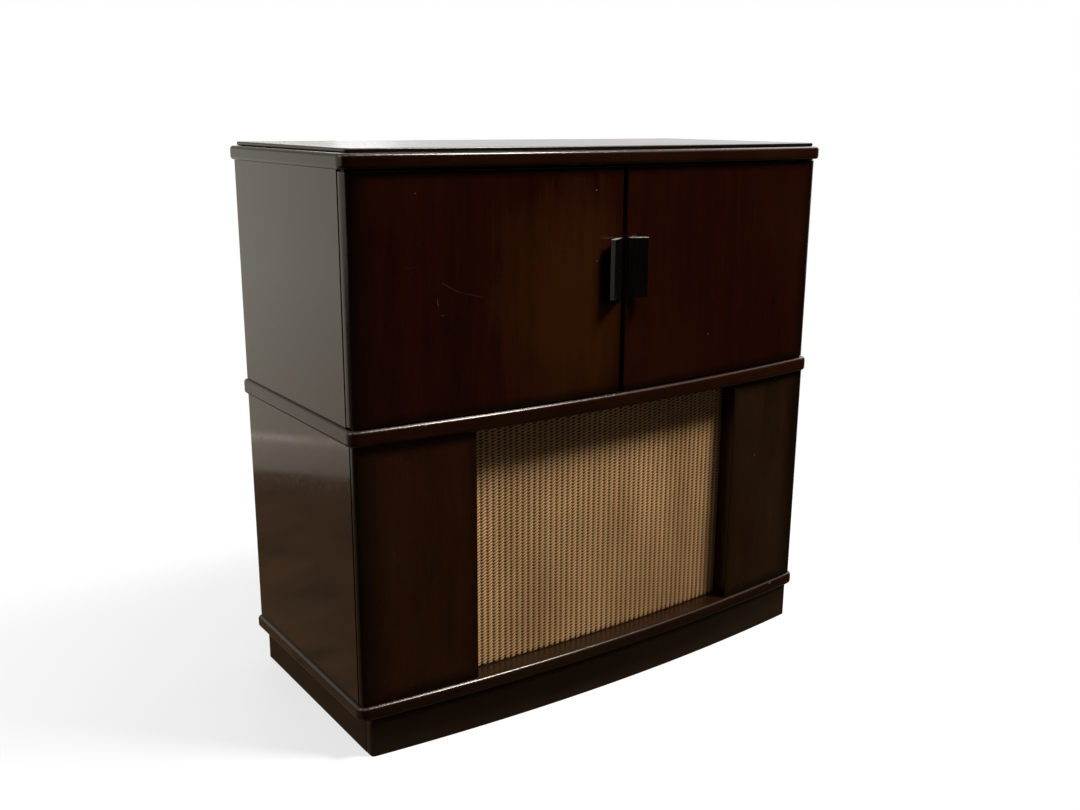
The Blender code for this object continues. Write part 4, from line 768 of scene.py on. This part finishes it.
# Door handles
# Glossy black mouldings beside the meeting gap: wedges that slant out to a square-cut end, hollow behind it
# for the fingers. Screws from inside the doors hold them.
HANDLE_EDGE = 0.0013
HANDLE_ROOT = 0.0025
ROOT_START, ROOT_END = 0.0012, 0.0014
HANDLE_FOOT = 0.012
HANDLE_STANDOFF = 0.021
HANDLE_FACE = 0.0295
HANDLE_END = 0.0098
HANDLE_LIP = 0.006
END_CORNER = 0.0018
END_OUTWARD, END_FORWARD = 0.7, -0.2
FIT = 0.0003
BAKELITE_DEEP = (0.0010, 0.0010, 0.0010)
BAKELITE_PALE = (0.0024, 0.0021, 0.0019)
BAKELITE_INDEX = 1.6
# Pale colour for the handle tops: dust, and partly a painted highlight.
DUST_AND_HIGHLIGHT = (0.27, 0.245, 0.225)


def curve(start, bend, end, steps):
    """Points of a quadratic curve from start to end, bent towards a third point."""
    shares = [i / steps for i in range(steps + 1)]
    return [tuple(start * (1 - t) ** 2 + bend * 2 * t * (1 - t) + end * t * t) for t in shares]


def handle_plan(sign, root):
    """Plan of a handle, as a function of how far its outline is drawn in."""
    foot = root + HANDLE_FOOT
    inner = Vector((root, bow_y(root) - HANDLE_ROOT))
    front = Vector((root + HANDLE_FACE, APEX_Y - HANDLE_STANDOFF))
    along = (front - inner).normalized()
    back = front + Vector((-along.y, along.x)) * HANDLE_END
    inward = Vector((-along.y, along.x)) * END_CORNER
    tail, end = back - along * HANDLE_LIP, Vector((foot, bow_y(foot) - FIT))
    points = [(root, bow_y(root) - FIT)]
    points += curve(inner + Vector((0, ROOT_START)), inner, inner + along * ROOT_END, 4)
    points += curve(front - along * END_CORNER, front, front + inward, 5)
    points += curve(back - inward, back, back - along * END_CORNER, 5)
    points += curve(tail, Vector((foot + HANDLE_FOOT / 3, (tail.y + 2 * end.y) / 3)), end, 12)
    if sign < 0:
        points = [(-x, y) for x, y in reversed(points)]

    def outline(inset):
        drawn = []
        for i, point in enumerate(points):
            before, here, after = Vector(points[i - 1]), Vector(point), Vector(points[(i + 1) % len(points)])
            first, second = (here - before).normalized(), (after - here).normalized()
            normal = Vector((-first.y - second.y, first.x + second.x)).normalized()
            stretch = max(0.5, normal.dot(Vector((-first.y, first.x))))
            drawn.append(tuple(here + normal * (inset / stretch)))
        return drawn

    return outline


def mottled(name, first, second, scale, gloss, grit=0.3):
    """A finish of two tones in fine specks and broad clouds, with a light tooth to its surface."""
    material, tree, surface = plain_material(name)
    place = own_place(tree)
    speck = noise(tree, place, scale, 4.0, Roughness=0.65)
    cloud = noise(tree, place, 7.0, 3.0)
    tone = scaled(tree, cloud, 0.45, times(tree, speck, 0.55))
    colour = mix_colour(tree, between(tree, tone, 0.36, 0.66), first, second)
    dull = between(tree, cloud, 0.3, 0.7, gloss, min(1.0, gloss + 0.12))
    finished(tree, surface, Base_Color=colour, Roughness=dull, Normal=relief(tree, speck, grit, 0.0003))
    return material


def moulding(name, dusty_and_highlit):
    """Glossy black moulding; when asked, its upward faces are paled by dust and by a painted highlight of
    light from above.
    """
    material, tree, surface = plain_material(name)
    place = add(tree, "ShaderNodeTexCoord").outputs
    swirl = noise(tree, place["Object"], 35.0, 4.0, Distortion=1.5)
    rub = noise(tree, place["Object"], (300.0, 300.0, 40.0), 3.0)
    colour = mix_colour(tree, between(tree, swirl, 0.35, 0.7), BAKELITE_DEEP, BAKELITE_PALE)
    dull = between(tree, rub, 0.35, 0.75, 0.16, 0.30)
    if dusty_and_highlit:
        upward = add(tree, "ShaderNodeSeparateXYZ", {0: place["Normal"]}).outputs[2]
        # Upward faces paled: dust, and partly a painted highlight where the light from above catches the
        # tops.
        dust_and_highlight_share = times(tree, between(tree, upward, 0.80, 0.98), between(tree, rub, 0.2, 0.7, 0.55, 1.0))
        colour = mix_colour(tree, dust_and_highlight_share, colour, DUST_AND_HIGHLIGHT)
        dull = scaled(tree, dust_and_highlight_share, 0.4, dull)
    bump = relief(tree, rub, 0.04, 0.0003)
    finished(tree, surface, Base_Color=colour, Roughness=dull, Normal=bump, IOR=BAKELITE_INDEX)
    return material


bakelite = moulding("black_moulding", False)
dusty_highlit_bakelite = moulding("black_moulding_dust_and_highlight", True)
# Painted reflection: the handles' outward end faces are coloured pale grey for the pale room they mirror.
end_reflection_grey = mottled("moulding_end_painted_reflection", (0.048, 0.048, 0.048), (0.090, 0.090, 0.088), 700.0, 0.42)
for side, sign in SIDES:
    node = f"handle_{side}"
    low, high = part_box(node)
    plan = handle_plan(sign, min(abs(low[0]), abs(high[0])))
    grip = raised(f"{node}_moulding", plan, rounded_layers(low[2], high[2], HANDLE_EDGE, 4))
    dress(grip, dusty_highlit_bakelite, f"door_{side}", [node])
    grip.data.materials.append(end_reflection_grey)
    # The outward-facing end faces get the painted reflection.
    for face in grip.data.polygons:
        face.material_index = int(face.normal.x * sign > END_OUTWARD and face.normal.y < END_FORWARD)

# Baffle and loudspeaker
# A raw plywood board bent behind the cloth carries a cone loudspeaker: a pressed steel basket, a black paper
# cone and a magnet pot. None of it shows from outside except through the vents in the back.
PLYWOOD = ((0.250, 0.150, 0.075), (0.420, 0.280, 0.150), (0.330, 0.215, 0.120))
plywood = mahogany("raw_plywood", "x", (0.4, 0.0, 0.6), PLYWOOD, 0.60, wear_share=(0.0, 0.0))
dark_paint = mottled("dark_grey_paint", (0.030, 0.031, 0.032), (0.052, 0.053, 0.055), 480.0, 0.42)
paper = mottled("black_cone_paper", (0.014, 0.013, 0.012), (0.034, 0.032, 0.029), 900.0, 0.85, 0.8)
soften("baffle_board", plywood, 0.0006)
soften("speaker_basket", dark_paint, 0.0005)
soften("speaker_magnet", dark_paint, 0.0008)
soften("speaker_cone", paper, 0.0)

# Vented backs
# Two brown hardboard panels let in flush between the sides, slotted to let the heat and the bass out,
# and held by round-headed screws along their edges.
SCREW_RADIUS = 0.0036
SCREW_RISE = 0.0022
SCREW_SHOULDER = 0.35
SCREW_SLOT = 0.0009
SCREW_SEAT = 0.0002
SCREW_MARGIN = 0.014
SCREW_STEPS = 10
SCREW_DOME = ((1.0, 0.3), (0.94, 0.62), (0.72, 0.9), (0.4, 1.0))
TINY = 1e-6
BACKWARD = (0, 1, 0)


def joined(*shapes):
    """Several sets of points and faces as one."""
    verts, faces = [], []
    for points, polygons in shapes:
        start = len(verts)
        verts += points
        faces += [tuple(start + i for i in polygon) for polygon in polygons]
    return verts, faces


def placed(shape, matrix):
    points, polygons = shape
    return [tuple(matrix @ Vector(point)) for point in points], polygons


def facing(direction, place):
    """Matrix that stands a shape made along +Z at a place, pointing another way."""
    return Matrix.Translation(place) @ Vector(direction).to_track_quat("Z", "Y").to_matrix().to_4x4()


def lathe(profile, steps=48, flutes=0, cut=0.0, core=0.0):
    """A turned shape about Z from radius and height points, outside first, closed on itself or on the axis.

    Flutes are cut into whatever lies beyond the core radius.
    """
    verts, faces, rings = [], [], []
    turns = [2 * math.pi * i / steps for i in range(steps)]
    depths = [cut * (0.5 - 0.5 * math.cos(flutes * a)) for a in turns]
    for radius, height in profile:
        if radius < TINY:
            rings.append([len(verts)] * steps)
            verts.append((0.0, 0.0, height))
        else:
            rings.append(list(range(len(verts), len(verts) + steps)))
            spans = [radius - depth if radius > core else radius for depth in depths]
            verts += [(r * math.cos(a), r * math.sin(a), height) for r, a in zip(spans, turns)]
    pairs = list(zip(rings, rings[1:]))
    if profile[0][0] > TINY:
        pairs.append((rings[-1], rings[0]))
    for upper, lower in pairs:
        for i in range(steps):
            j = (i + 1) % steps
            face = tuple(dict.fromkeys((upper[i], lower[i], lower[j], upper[j])))
            if len(face) > 2:
                faces.append(face)
    return verts, faces


def eased(points, radius, steps=3):
    """A profile with its inner corners rounded; the first and last points stay."""
    result = [points[0]]
    for before, here, after in zip(points, points[1:], points[2:]):
        before, here, after = Vector(before), Vector(here), Vector(after)
        cut = min(radius, (before - here).length * 0.45, (after - here).length * 0.45)
        start = here + (before - here).normalized() * cut
        end = here + (after - here).normalized() * cut
        result += curve(start, here, end, steps)
    return result + [points[-1]]


def rod(radius, top, foot, bore=0.0):
    """Profile of a plain rod, or of a ring round a bore."""
    return [(bore, top), (radius, top), (radius, foot), (bore, foot)]


def turned(profile, ease, steps, seat, ease_steps=3):
    """A turned piece with eased corners, stood on its seat."""
    return placed(lathe(eased(profile, ease, ease_steps), steps), seat)


def block(low, high, radius, segments=2):
    """A block with rounded edges."""
    low, high = Vector(low), Vector(high)
    shape = bmesh.new()
    place = Matrix.Translation((low + high) / 2) @ Matrix.Diagonal((*(high - low), 1.0))
    bmesh.ops.create_cube(shape, size=1.0, matrix=place)
    bmesh.ops.bevel(
        shape, geom=shape.edges[:], offset=radius, segments=segments, profile=0.5, affect="EDGES"
    )
    shape.verts.index_update()
    result = [tuple(v.co) for v in shape.verts], [tuple(v.index for v in f.verts) for f in shape.faces]
    shape.free()
    return result


def screw_head(place, direction, radius=SCREW_RADIUS, turn=0.4):
    """A round slotted screw head that stands on a face."""
    rim = rod(radius, SCREW_SHOULDER * SCREW_RISE, -SCREW_SEAT)
    halves = []
    for side in (0.0, math.pi):
        points = []
        for share, rise in SCREW_DOME:
            reach = radius * share
            start = math.asin(min(1.0, SCREW_SLOT / 2 / reach))
            turns = [side + start + (math.pi - 2 * start) * i / SCREW_STEPS for i in range(SCREW_STEPS + 1)]
            points += [(reach * math.cos(a), reach * math.sin(a), SCREW_RISE * rise) for a in turns]
        count = len(turns)
        faces = [tuple(range(count * 3, count * 4))]
        for k in range(3):
            for i in range(count):
                j = (i + 1) % count
                faces.append((k * count + i, k * count + j, (k + 1) * count + j, (k + 1) * count + i))
        halves.append((points, faces))
    spin = Matrix.Rotation(turn, 4, "Z")
    return placed(joined(lathe(rim, 20), *halves), facing(direction, place) @ spin)


def add_piece(name, shape, material, body="cabinet", replaced=(), sharp=38):
    """A new piece from points and faces, shaded smooth up to a sharp angle."""
    piece = new_object(name, *shape)
    shade_evenly(piece, sharp)
    dress(piece, material, body, replaced)


def worn_metal(name, colour, gloss, tarnish):
    """Bare metal with fine lines, smudges and some tarnish."""
    material, tree, surface = plain_material(name)
    place = own_place(tree)
    line = noise(tree, place, (260.0, 260.0, 18.0), 3.0)
    cloud = noise(tree, place, 45.0, 4.0, Roughness=0.6)
    shade = mix_colour(tree, between(tree, cloud, 0.45, 0.72, 0.0, 0.8), colour, tarnish)
    dull = scaled(tree, line, 0.16, between(tree, cloud, 0.35, 0.7, gloss, gloss + 0.15))
    bump = relief(tree, line, 0.08, 0.0002)
    finished(tree, surface, Base_Color=shade, Roughness=dull, Normal=bump, Metallic=1.0)
    return material


hardboard = mottled("brown_hardboard", (0.085, 0.045, 0.022), (0.165, 0.094, 0.049), 950.0, 0.62, 0.35)
steel = worn_metal("plated_steel", (0.58, 0.57, 0.55), 0.20, (0.34, 0.32, 0.29))
brass = worn_metal("old_brass", (0.62, 0.43, 0.17), 0.24, (0.26, 0.16, 0.06))
heads = []
for i, node in enumerate(("lower_back_panel", "upper_back_panel")):
    soften(node, hardboard, 0.0007)
    low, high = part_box(node)
    left, right, bottom, top = (
        low[0] + SCREW_MARGIN, high[0] - SCREW_MARGIN, low[2] + SCREW_MARGIN, high[2] - SCREW_MARGIN
    )
    spots = [(left + (right - left) * k / 6, z) for k in range(7) for z in (bottom, top)]
    spots += [(x, bottom + (top - bottom) * k / 3) for x in (left, right) for k in (1, 2)]
    heads += [screw_head((x, high[1], z), BACKWARD, turn=1.7 * k + i) for k, (x, z) in enumerate(spots)]
add_piece("back_panel_screws", joined(*heads), steel)

# Mains inlet
# A black moulded block let into the upper back, with two brass pins in its socket and two fixing screws.
# The lead plugs into it.
PIN_RADIUS, PIN_LENGTH, PIN_SPREAD, PIN_DEPTH = 0.002, 0.0075, 0.0075, 0.0085
INLET_SCREW_RADIUS, INLET_SCREW_SPREAD = 0.0022, 0.0216
soften("mains_inlet", bakelite, 0.0008)
low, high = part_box("mains_inlet")
middle = (Vector(low) + Vector(high)) / 2
pins, heads = [], []
for sign in (-1, 1):
    seat = facing(BACKWARD, (middle.x + sign * PIN_SPREAD, high[1] - PIN_DEPTH, middle.z))
    pins.append(turned(rod(PIN_RADIUS, PIN_LENGTH, 0.0), 0.0008, 20, seat))
    spot = (middle.x + sign * INLET_SCREW_SPREAD, high[1], middle.z)
    heads.append(screw_head(spot, BACKWARD, INLET_SCREW_RADIUS, 0.9 * sign))
add_piece("inlet_pins", joined(*pins), brass)
add_piece("inlet_screws", joined(*heads), brass)

# Partition, control fascia and motor board
# The upper case is split by an upright partition. In the left bay a veneered fascia carries the controls and,
# with a plywood rail at the back, the board that the turntable stands on.
VENEER = ((0.034, 0.0100, 0.0040), (0.105, 0.0360, 0.0140), (0.085, 0.0370, 0.0140))
VENEER_GLOSS = 0.30
UPRIGHT_WEAR, LEVEL_WEAR = (0.6, 0.4), (0.8, 0.4)
inner_upright = mahogany(
    "inner_veneer_upright", "z", (0.5, 0.7, 0.1), VENEER, VENEER_GLOSS, wear_share=UPRIGHT_WEAR
)
inner_level = mahogany(
    "inner_veneer_level", "x", (0.1, 0.3, 0.8), VENEER, VENEER_GLOSS, wear_share=LEVEL_WEAR
)
soften("centre_partition", inner_upright)
soften("control_fascia", inner_level)
soften("motor_board", inner_level)
soften("motor_board_rail", plywood)

# Record rack
# A shelf and two upright dividers of the same veneered board stand in the right bay, and keep the records
# upright in three rows.
soften("record_shelf", inner_level)
soften("record_divider_1", inner_upright, 0.0006)
soften("record_divider_2", inner_upright, 0.0006)

# Door pivots, catch and handle screws
# Brass plates with pins let into the boards carry the doors, and a double roller catch on the partition holds
# them shut. Two brass screws through each door hold its handle.
HANDLE_SCREW_RADIUS, HANDLE_SCREW_X, HANDLE_SCREW_END = 0.0042, 0.007, 0.018
browned = worn_metal("browned_brass", (0.050, 0.032, 0.015), 0.40, (0.022, 0.015, 0.008))
soften("door_catch", brass, 0.0004)
for side, sign in SIDES:
    soften(f"{side}_lower_pivot", browned, 0.0004)
    soften(f"{side}_upper_pivot", browned, 0.0004)
    low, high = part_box(f"handle_{side}")
    x = sign * (min(abs(low[0]), abs(high[0])) + HANDLE_SCREW_X)
    y = bow_y(x, -DOOR_THICKNESS)
    heights = low[2] + HANDLE_SCREW_END, high[2] - HANDLE_SCREW_END
    heads = [screw_head((x, y, z), BACKWARD, HANDLE_SCREW_RADIUS, 1.1 + i) for i, z in enumerate(heights)]
    add_piece(f"handle_screws_{side}", joined(*heads), brass, f"door_{side}")

# Turntable
# A pressed platter in cream enamel turns on a fixed steel spindle and wears a grooved rubber mat.
# A rubber-tyred idler inside its rim is driven by a brass pulley on the motor under the board.
DECK_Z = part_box("motor_board")[1][2]
RIM_THICKNESS, RIM_LIFT, PLATE_THICKNESS = 0.007, 0.0014, 0.004
BORE, HUB_RADIUS, HUB_FOOT = 0.0053, 0.016, 0.0050
MAT_BORE, MAT_EDGE = 0.010, 0.0006
GROOVE_START, GROOVE_MARGIN, GROOVE_PITCH, GROOVE_DEPTH, GROOVE_WIDTH = 0.014, 0.020, 0.0032, 0.0006, 0.0016
GROOVES_IN_BAND = 14
TYRE_WIDTH, TYRE_BORE = 0.008, 0.0125
cream = mottled("cream_enamel", (0.58, 0.50, 0.35), (0.68, 0.60, 0.44), 420.0, 0.20, 0.08)
rubber = mottled("black_rubber", (0.011, 0.011, 0.011), (0.024, 0.023, 0.022), 800.0, 0.66, 0.4)


def over_deck(node):
    """Seat of a turned piece on the motor board, its radius, and its foot and top over the board."""
    low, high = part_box(node)
    seat = Matrix.Translation(((low[0] + high[0]) / 2, (low[1] + high[1]) / 2, DECK_Z))
    return seat, (high[0] - low[0]) / 2, low[2] - DECK_Z, high[2] - DECK_Z


spindle_seat, radius, foot, platter_top = over_deck("platter")
rim, foot, plate = radius - RIM_THICKNESS, foot + RIM_LIFT, platter_top - PLATE_THICKNESS
profile = [(BORE, platter_top), (radius, platter_top), (radius, foot), (rim, foot), (rim, plate)]
profile += [(HUB_RADIUS, plate), (HUB_RADIUS, HUB_FOOT), (BORE, HUB_FOOT)]
platter = turned(profile, 0.0022, 120, spindle_seat, 4)
add_piece("platter_enamelled", platter, cream, "platter", ["platter"])

_, radius, foot, top = over_deck("platter_mat")
profile = [(MAT_BORE, top - 0.0005), (MAT_BORE + 0.0005, top)]
for i in range(int((radius - GROOVE_MARGIN) / GROOVE_PITCH)):
    r = GROOVE_START + i * GROOVE_PITCH
    if i % GROOVES_IN_BAND != GROOVES_IN_BAND - 1:
        profile += [(r, top), (r + GROOVE_WIDTH / 2, top - GROOVE_DEPTH), (r + GROOVE_WIDTH, top)]
profile += [(radius - MAT_EDGE, top), (radius, top - MAT_EDGE), (radius, foot), (MAT_BORE, foot)]
mat = placed(lathe(profile, 120), spindle_seat)
add_piece("platter_mat_grooved", mat, rubber, "platter", ["platter_mat"], 25)

tip = over_deck("platter_spindle")[3]
profile = [(0.0, tip), (0.0018, tip), (0.0036, tip - 0.0034), (0.0036, platter_top), (0.0050, platter_top)]
profile += [(0.0050, 0.0043), (0.018, 0.0043), (0.018, 0.0003), (0.005, 0.0003)]
profile += [(0.005, -0.026), (0.0, -0.026)]
spindle = turned(profile, 0.0008, 40, spindle_seat)
add_piece("spindle_turned", spindle, steel, replaced=["platter_spindle"])

seat, radius, _, top = over_deck("idler_wheel")
foot = top - TYRE_WIDTH
tyre = turned(rod(radius, top, foot, TYRE_BORE), 0.0012, 64, seat)
add_piece("idler_tyre", tyre, rubber, "idler", ["idler_wheel"])
profile = [(0.0, top), (0.0035, top), (0.0035, top - 0.001), (0.0127, top - 0.0012), (0.0127, foot + 0.001)]
profile += [(0.006, foot + 0.001), (0.006, 0.0003), (0.003, 0.0003), (0.003, -0.014), (0.0, -0.014)]
add_piece("idler_hub", turned(profile, 0.0005, 48, seat), steel, "idler")

seat, radius, shaft_end, top = over_deck("motor_pulley")
profile = [(0.0, top), (0.005, top), (0.005, top - 0.0018), (radius, top - 0.0018), (radius, top - 0.012)]
profile += [(0.003, top - 0.012), (0.003, shaft_end), (0.0, shaft_end)]
pulley = turned(profile, 0.0005, 48, seat)
add_piece("pulley_turned", pulley, brass, "motor_rotor", ["motor_pulley"])
soften("turntable_motor", dark_paint, 0.0012)

# Tonearm
# A plated pillar and yoke carry a tapered cream arm with a weight at its tail and a moulded pickup head,
# which swings in over the record and lifts on its trunnion. A post with a saddle is its rest.
ARM_RISE = 0.044
WEIGHT_RADIUS, WEIGHT_LENGTH = 0.012, 0.026
TRUNNION_RADIUS, TRUNNION_REACH = 0.0035, 0.0087
SHELL_HEIGHT, SHELL_TAPER = 0.014, 0.28
seat = over_deck("tonearm_yoke")[0]
profile = [(0.0043, 0.024), (0.013, 0.024), (0.0115, 0.017), (0.013, 0.0053), (0.020, 0.0053)]
profile += [(0.022, 0.0035), (0.022, 0.0003), (0.0065, 0.0003), (0.0065, -0.014), (0.0043, -0.014)]
pillar = turned(profile, 0.0012, 56, seat)
add_piece("pillar_turned", pillar, steel, replaced=["tonearm_pillar"])
soften("tonearm_yoke", steel, 0.0006)
soften("tonearm_rest", steel, 0.0006)
pivot = seat @ Vector((0.0, 0.0, ARM_RISE))
low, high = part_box("tonearm")
reach, tail = pivot.y - low[1], high[1] - pivot.y
neck = WEIGHT_LENGTH - tail
profile = [(0.0, reach), (0.0042, reach), (0.0050, 0.030), (0.0050, neck), (0.0, neck)]
tube = turned(profile, 0.0008, 32, facing((0, -1, 0), pivot))
add_piece("tonearm_tube", tube, cream, "tonearm", ["tonearm"])
weight = turned(rod(WEIGHT_RADIUS, tail, -neck), 0.0028, 48, facing(BACKWARD, pivot), 5)
add_piece("tonearm_weight", weight, dark_paint, "tonearm")
profile = rod(TRUNNION_RADIUS, TRUNNION_REACH, -TRUNNION_REACH)
trunnion = turned(profile, 0.0006, 28, facing((1, 0, 0), pivot))
add_piece("tonearm_trunnion", trunnion, steel, "tonearm")
low, high = (Vector(corner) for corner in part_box("pickup_head"))
needle_z, low.z = low.z, high.z - SHELL_HEIGHT
points, faces = block(low, high, 0.0042, 5)
middle = (low + high) / 2
slim = [1 - SHELL_TAPER * (y - low.y) / (high.y - low.y) for _, y, _ in points]
points = [(middle.x + (x - middle.x) * share, y, z) for (x, y, z), share in zip(points, slim)]
add_piece("pickup_shell", (points, faces), cream, "tonearm", ["pickup_head"])
profile = [(0.0, 0.0090), (0.0012, 0.0090), (0.0012, 0.0030), (0.0003, 0.0), (0.0, 0.0)]
needle = placed(lathe(profile, 16), Matrix.Translation((middle.x, low.y + 0.010, needle_z)))
add_piece("pickup_needle", needle, steel, "tonearm")

# Knobs, mains switch and speed lever
# Fluted black knobs with a pale pointer line turn the volume and the tone; a plated toggle in a threaded bush
# switches the mains. A black lever on the motor board sets the speed.
CONTROL_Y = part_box("control_fascia")[0][1]
KNOB_FLUTES, FLUTE_DEPTH, KNOB_CORE = 20, 0.0014, 0.0135
TOGGLE_LEAN = math.radians(15)
KNOB_TURNS = {"volume": math.radians(140), "tone": 0.0}
skirt = [(0.0, 0.0050), (0.0180, 0.0050), (0.0180, 0.0008), (0.0030, 0.0008)]
skirt += [(0.0030, -0.0234), (0.0, -0.0234)]
grip = [(0.0, 0.0198), (0.0105, 0.0199), (0.0128, 0.0208), (0.0160, 0.0196), (0.0168, 0.0050), (0.0, 0.0050)]
fluted = lathe(eased(grip, 0.0012, 4), 160, KNOB_FLUTES, FLUTE_DEPTH, KNOB_CORE)
knob = joined(lathe(eased(skirt, 0.0010), 96), fluted)
pointer = block((-0.0006, 0.0035, 0.0192), (0.0006, 0.0112, 0.0201), 0.0002)
pointer_white = mottled("pointer_enamel", (0.60, 0.57, 0.50), (0.70, 0.67, 0.60), 500.0, 0.4, 0.05)
for name, turn in KNOB_TURNS.items():
    node = f"{name}_knob"
    low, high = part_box(node)
    seat = facing((0, -1, 0), ((low[0] + high[0]) / 2, CONTROL_Y, (low[2] + high[2]) / 2))
    seat = seat @ Matrix.Rotation(turn, 4, "Z")
    add_piece(f"{node}_moulding", placed(knob, seat), bakelite, node, [node])
    add_piece(f"{node}_pointer", placed(pointer, seat), pointer_white, node)
low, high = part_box("mains_switch_lever")
pivot = Vector(((low[0] + high[0]) / 2, CONTROL_Y, high[2] - 0.005))
profile = [(0.0, 0.0202), (0.0016, 0.0198), (0.0028, 0.0186), (0.0032, 0.0168), (0.0027, 0.0148)]
profile += [(0.0017, 0.0080), (0.0024, 0.0044), (0.0042, 0.0027), (0.0050, 0.0)]
profile += [(0.0036, -0.0034), (0.0, -0.0050)]
lean = (0.0, -math.cos(TOGGLE_LEAN), -math.sin(TOGGLE_LEAN))
toggle = turned(profile, 0.0010, 28, facing(lean, pivot))
add_piece("mains_toggle", toggle, steel, "mains_switch", ["mains_switch_lever"])
profile = [(0.0056, 0.0030), (0.0066, 0.0030), (0.0066, 0.0018), (0.0090, 0.0018)]
profile += [(0.0090, 0.0), (0.0056, 0.0)]
bush = turned(profile, 0.0004, 40, facing((0, -1, 0), pivot))
add_piece("mains_switch_bush", bush, steel)
low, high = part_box("speed_lever")
boss = Vector(((low[0] + high[0]) / 2, high[1] - 0.009, low[2]))
rise = high[2] - low[2]
profile = [(0.0, rise), (0.0052, rise - 0.0002), (0.0090, rise - 0.0022), (0.0090, 0.0), (0.0, 0.0)]
blade = block((-0.004, low[1] - boss.y, rise - 0.0040), (0.004, 0.0, rise - 0.0006), 0.0012, 3)
lever = placed(joined(lathe(eased(profile, 0.0012), 48), blade), Matrix.Translation(boss))
add_piece("speed_lever_moulding", lever, bakelite, "speed_lever", ["speed_lever"])

# Amplifier
# A folded steel chassis stands behind the fascia. It carries a mains transformer, with a laminated core
# between two painted shrouds, and two glass valves on black bases.
CORE_SHARE = 0.26
CORE_SHEETS = 22
SHEET_EDGE = 0.0003
CORE_INSET, SHROUD_INSET, SHROUD_EDGE = 0.0005, 0.005, 0.0045
BASE_TOP = 0.0122
soften("amplifier_chassis", steel, 0.0005)
low, high = (Vector(corner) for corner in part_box("mains_transformer"))
core_half = (high.y - low.y) * CORE_SHARE
middle = (low + high) / 2
core_front, core_back = middle.y - core_half, middle.y + core_half
sheet = core_half / 14


def slab(low, high, front, back, inset, radius, segments):
    """A block that fills a box from one depth to another, drawn in at its sides, foot and top."""
    near, far = (low.x + inset, front, low.z + inset), (high.x - inset, back, high.z - inset)
    return block(near, far, radius, segments)


core = []
for i in range(CORE_SHEETS):
    y = core_front + 2 * core_half * i / CORE_SHEETS
    core.append(slab(low, high, y, y + sheet, 0.0, SHEET_EDGE, 1))
core.append(slab(low, high, core_front, core_back, CORE_INSET, SHEET_EDGE, 1))
add_piece("transformer_core", joined(*core), steel, replaced=["mains_transformer"])
spans = (low.y, core_front), (core_back, high.y)
shrouds = [slab(low, high, *span, SHROUD_INSET, SHROUD_EDGE, 4) for span in spans]
add_piece("transformer_shrouds", joined(*shrouds), dark_paint)

glass, tree, surface = plain_material("valve_glass")
smoke = noise(tree, own_place(tree), 60.0, 3.0)
tint = mix_colour(tree, smoke, (0.96, 0.98, 0.97), (0.90, 0.93, 0.93))
finished(tree, surface, Base_Color=tint, Roughness=0.03, Transmission_Weight=1.0, IOR=1.45)
silver = worn_metal("getter_silver", (0.62, 0.62, 0.60), 0.10, (0.20, 0.18, 0.16))
for node in ("rectifier_valve", "output_valve"):
    low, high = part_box(node)
    seat = Matrix.Translation(((low[0] + high[0]) / 2, (low[1] + high[1]) / 2, low[2]))
    top = high[2] - low[2]
    outside = [(0.0, top), (0.0034, top - 0.0026), (0.0095, top - 0.0070), (0.0110, top - 0.0130)]
    shell = eased(outside + [(0.0110, 0.0125), (0.0100, 0.0125)], 0.0030, 5)
    inside = [(0.0100, top - 0.0135), (0.0086, top - 0.0078), (0.0, top - 0.0042)]
    bulb = placed(lathe(shell + inside, 48), seat)
    add_piece(f"{node}_glass", bulb, glass, replaced=[node])
    base = [(0.0, BASE_TOP), (0.0108, BASE_TOP), (0.0130, 0.0100), (0.0130, 0.0), (0.0, 0.0)]
    add_piece(f"{node}_base", turned(base, 0.0012, 40, seat), bakelite)
    plate = [(0.0, 0.0460), (0.0068, 0.0460), (0.0072, 0.0440), (0.0072, 0.0190), (0.0, 0.0190)]
    mica = rod(0.0094, 0.0492, 0.0486)
    post = rod(0.0009, 0.0490, BASE_TOP)
    posts = [placed(lathe(post, 10), Matrix.Translation((side * 0.0076, 0.0, 0.0))) for side in (-1, 1)]
    flattened = turned(plate, 0.0008, 32, Matrix.Diagonal((1.0, 0.72, 1.0, 1.0)))
    works = joined(flattened, lathe(mica, 32), *posts)
    add_piece(f"{node}_anode", placed(works, seat), dark_paint)
    cap = [(0.0, top - 0.0044), (0.0060, top - 0.0072), (0.0080, top - 0.0092), (0.0060, top - 0.0078)]
    getter = lathe(cap + [(0.0, top - 0.0050)], 32)
    add_piece(f"{node}_getter", placed(getter, seat), silver)
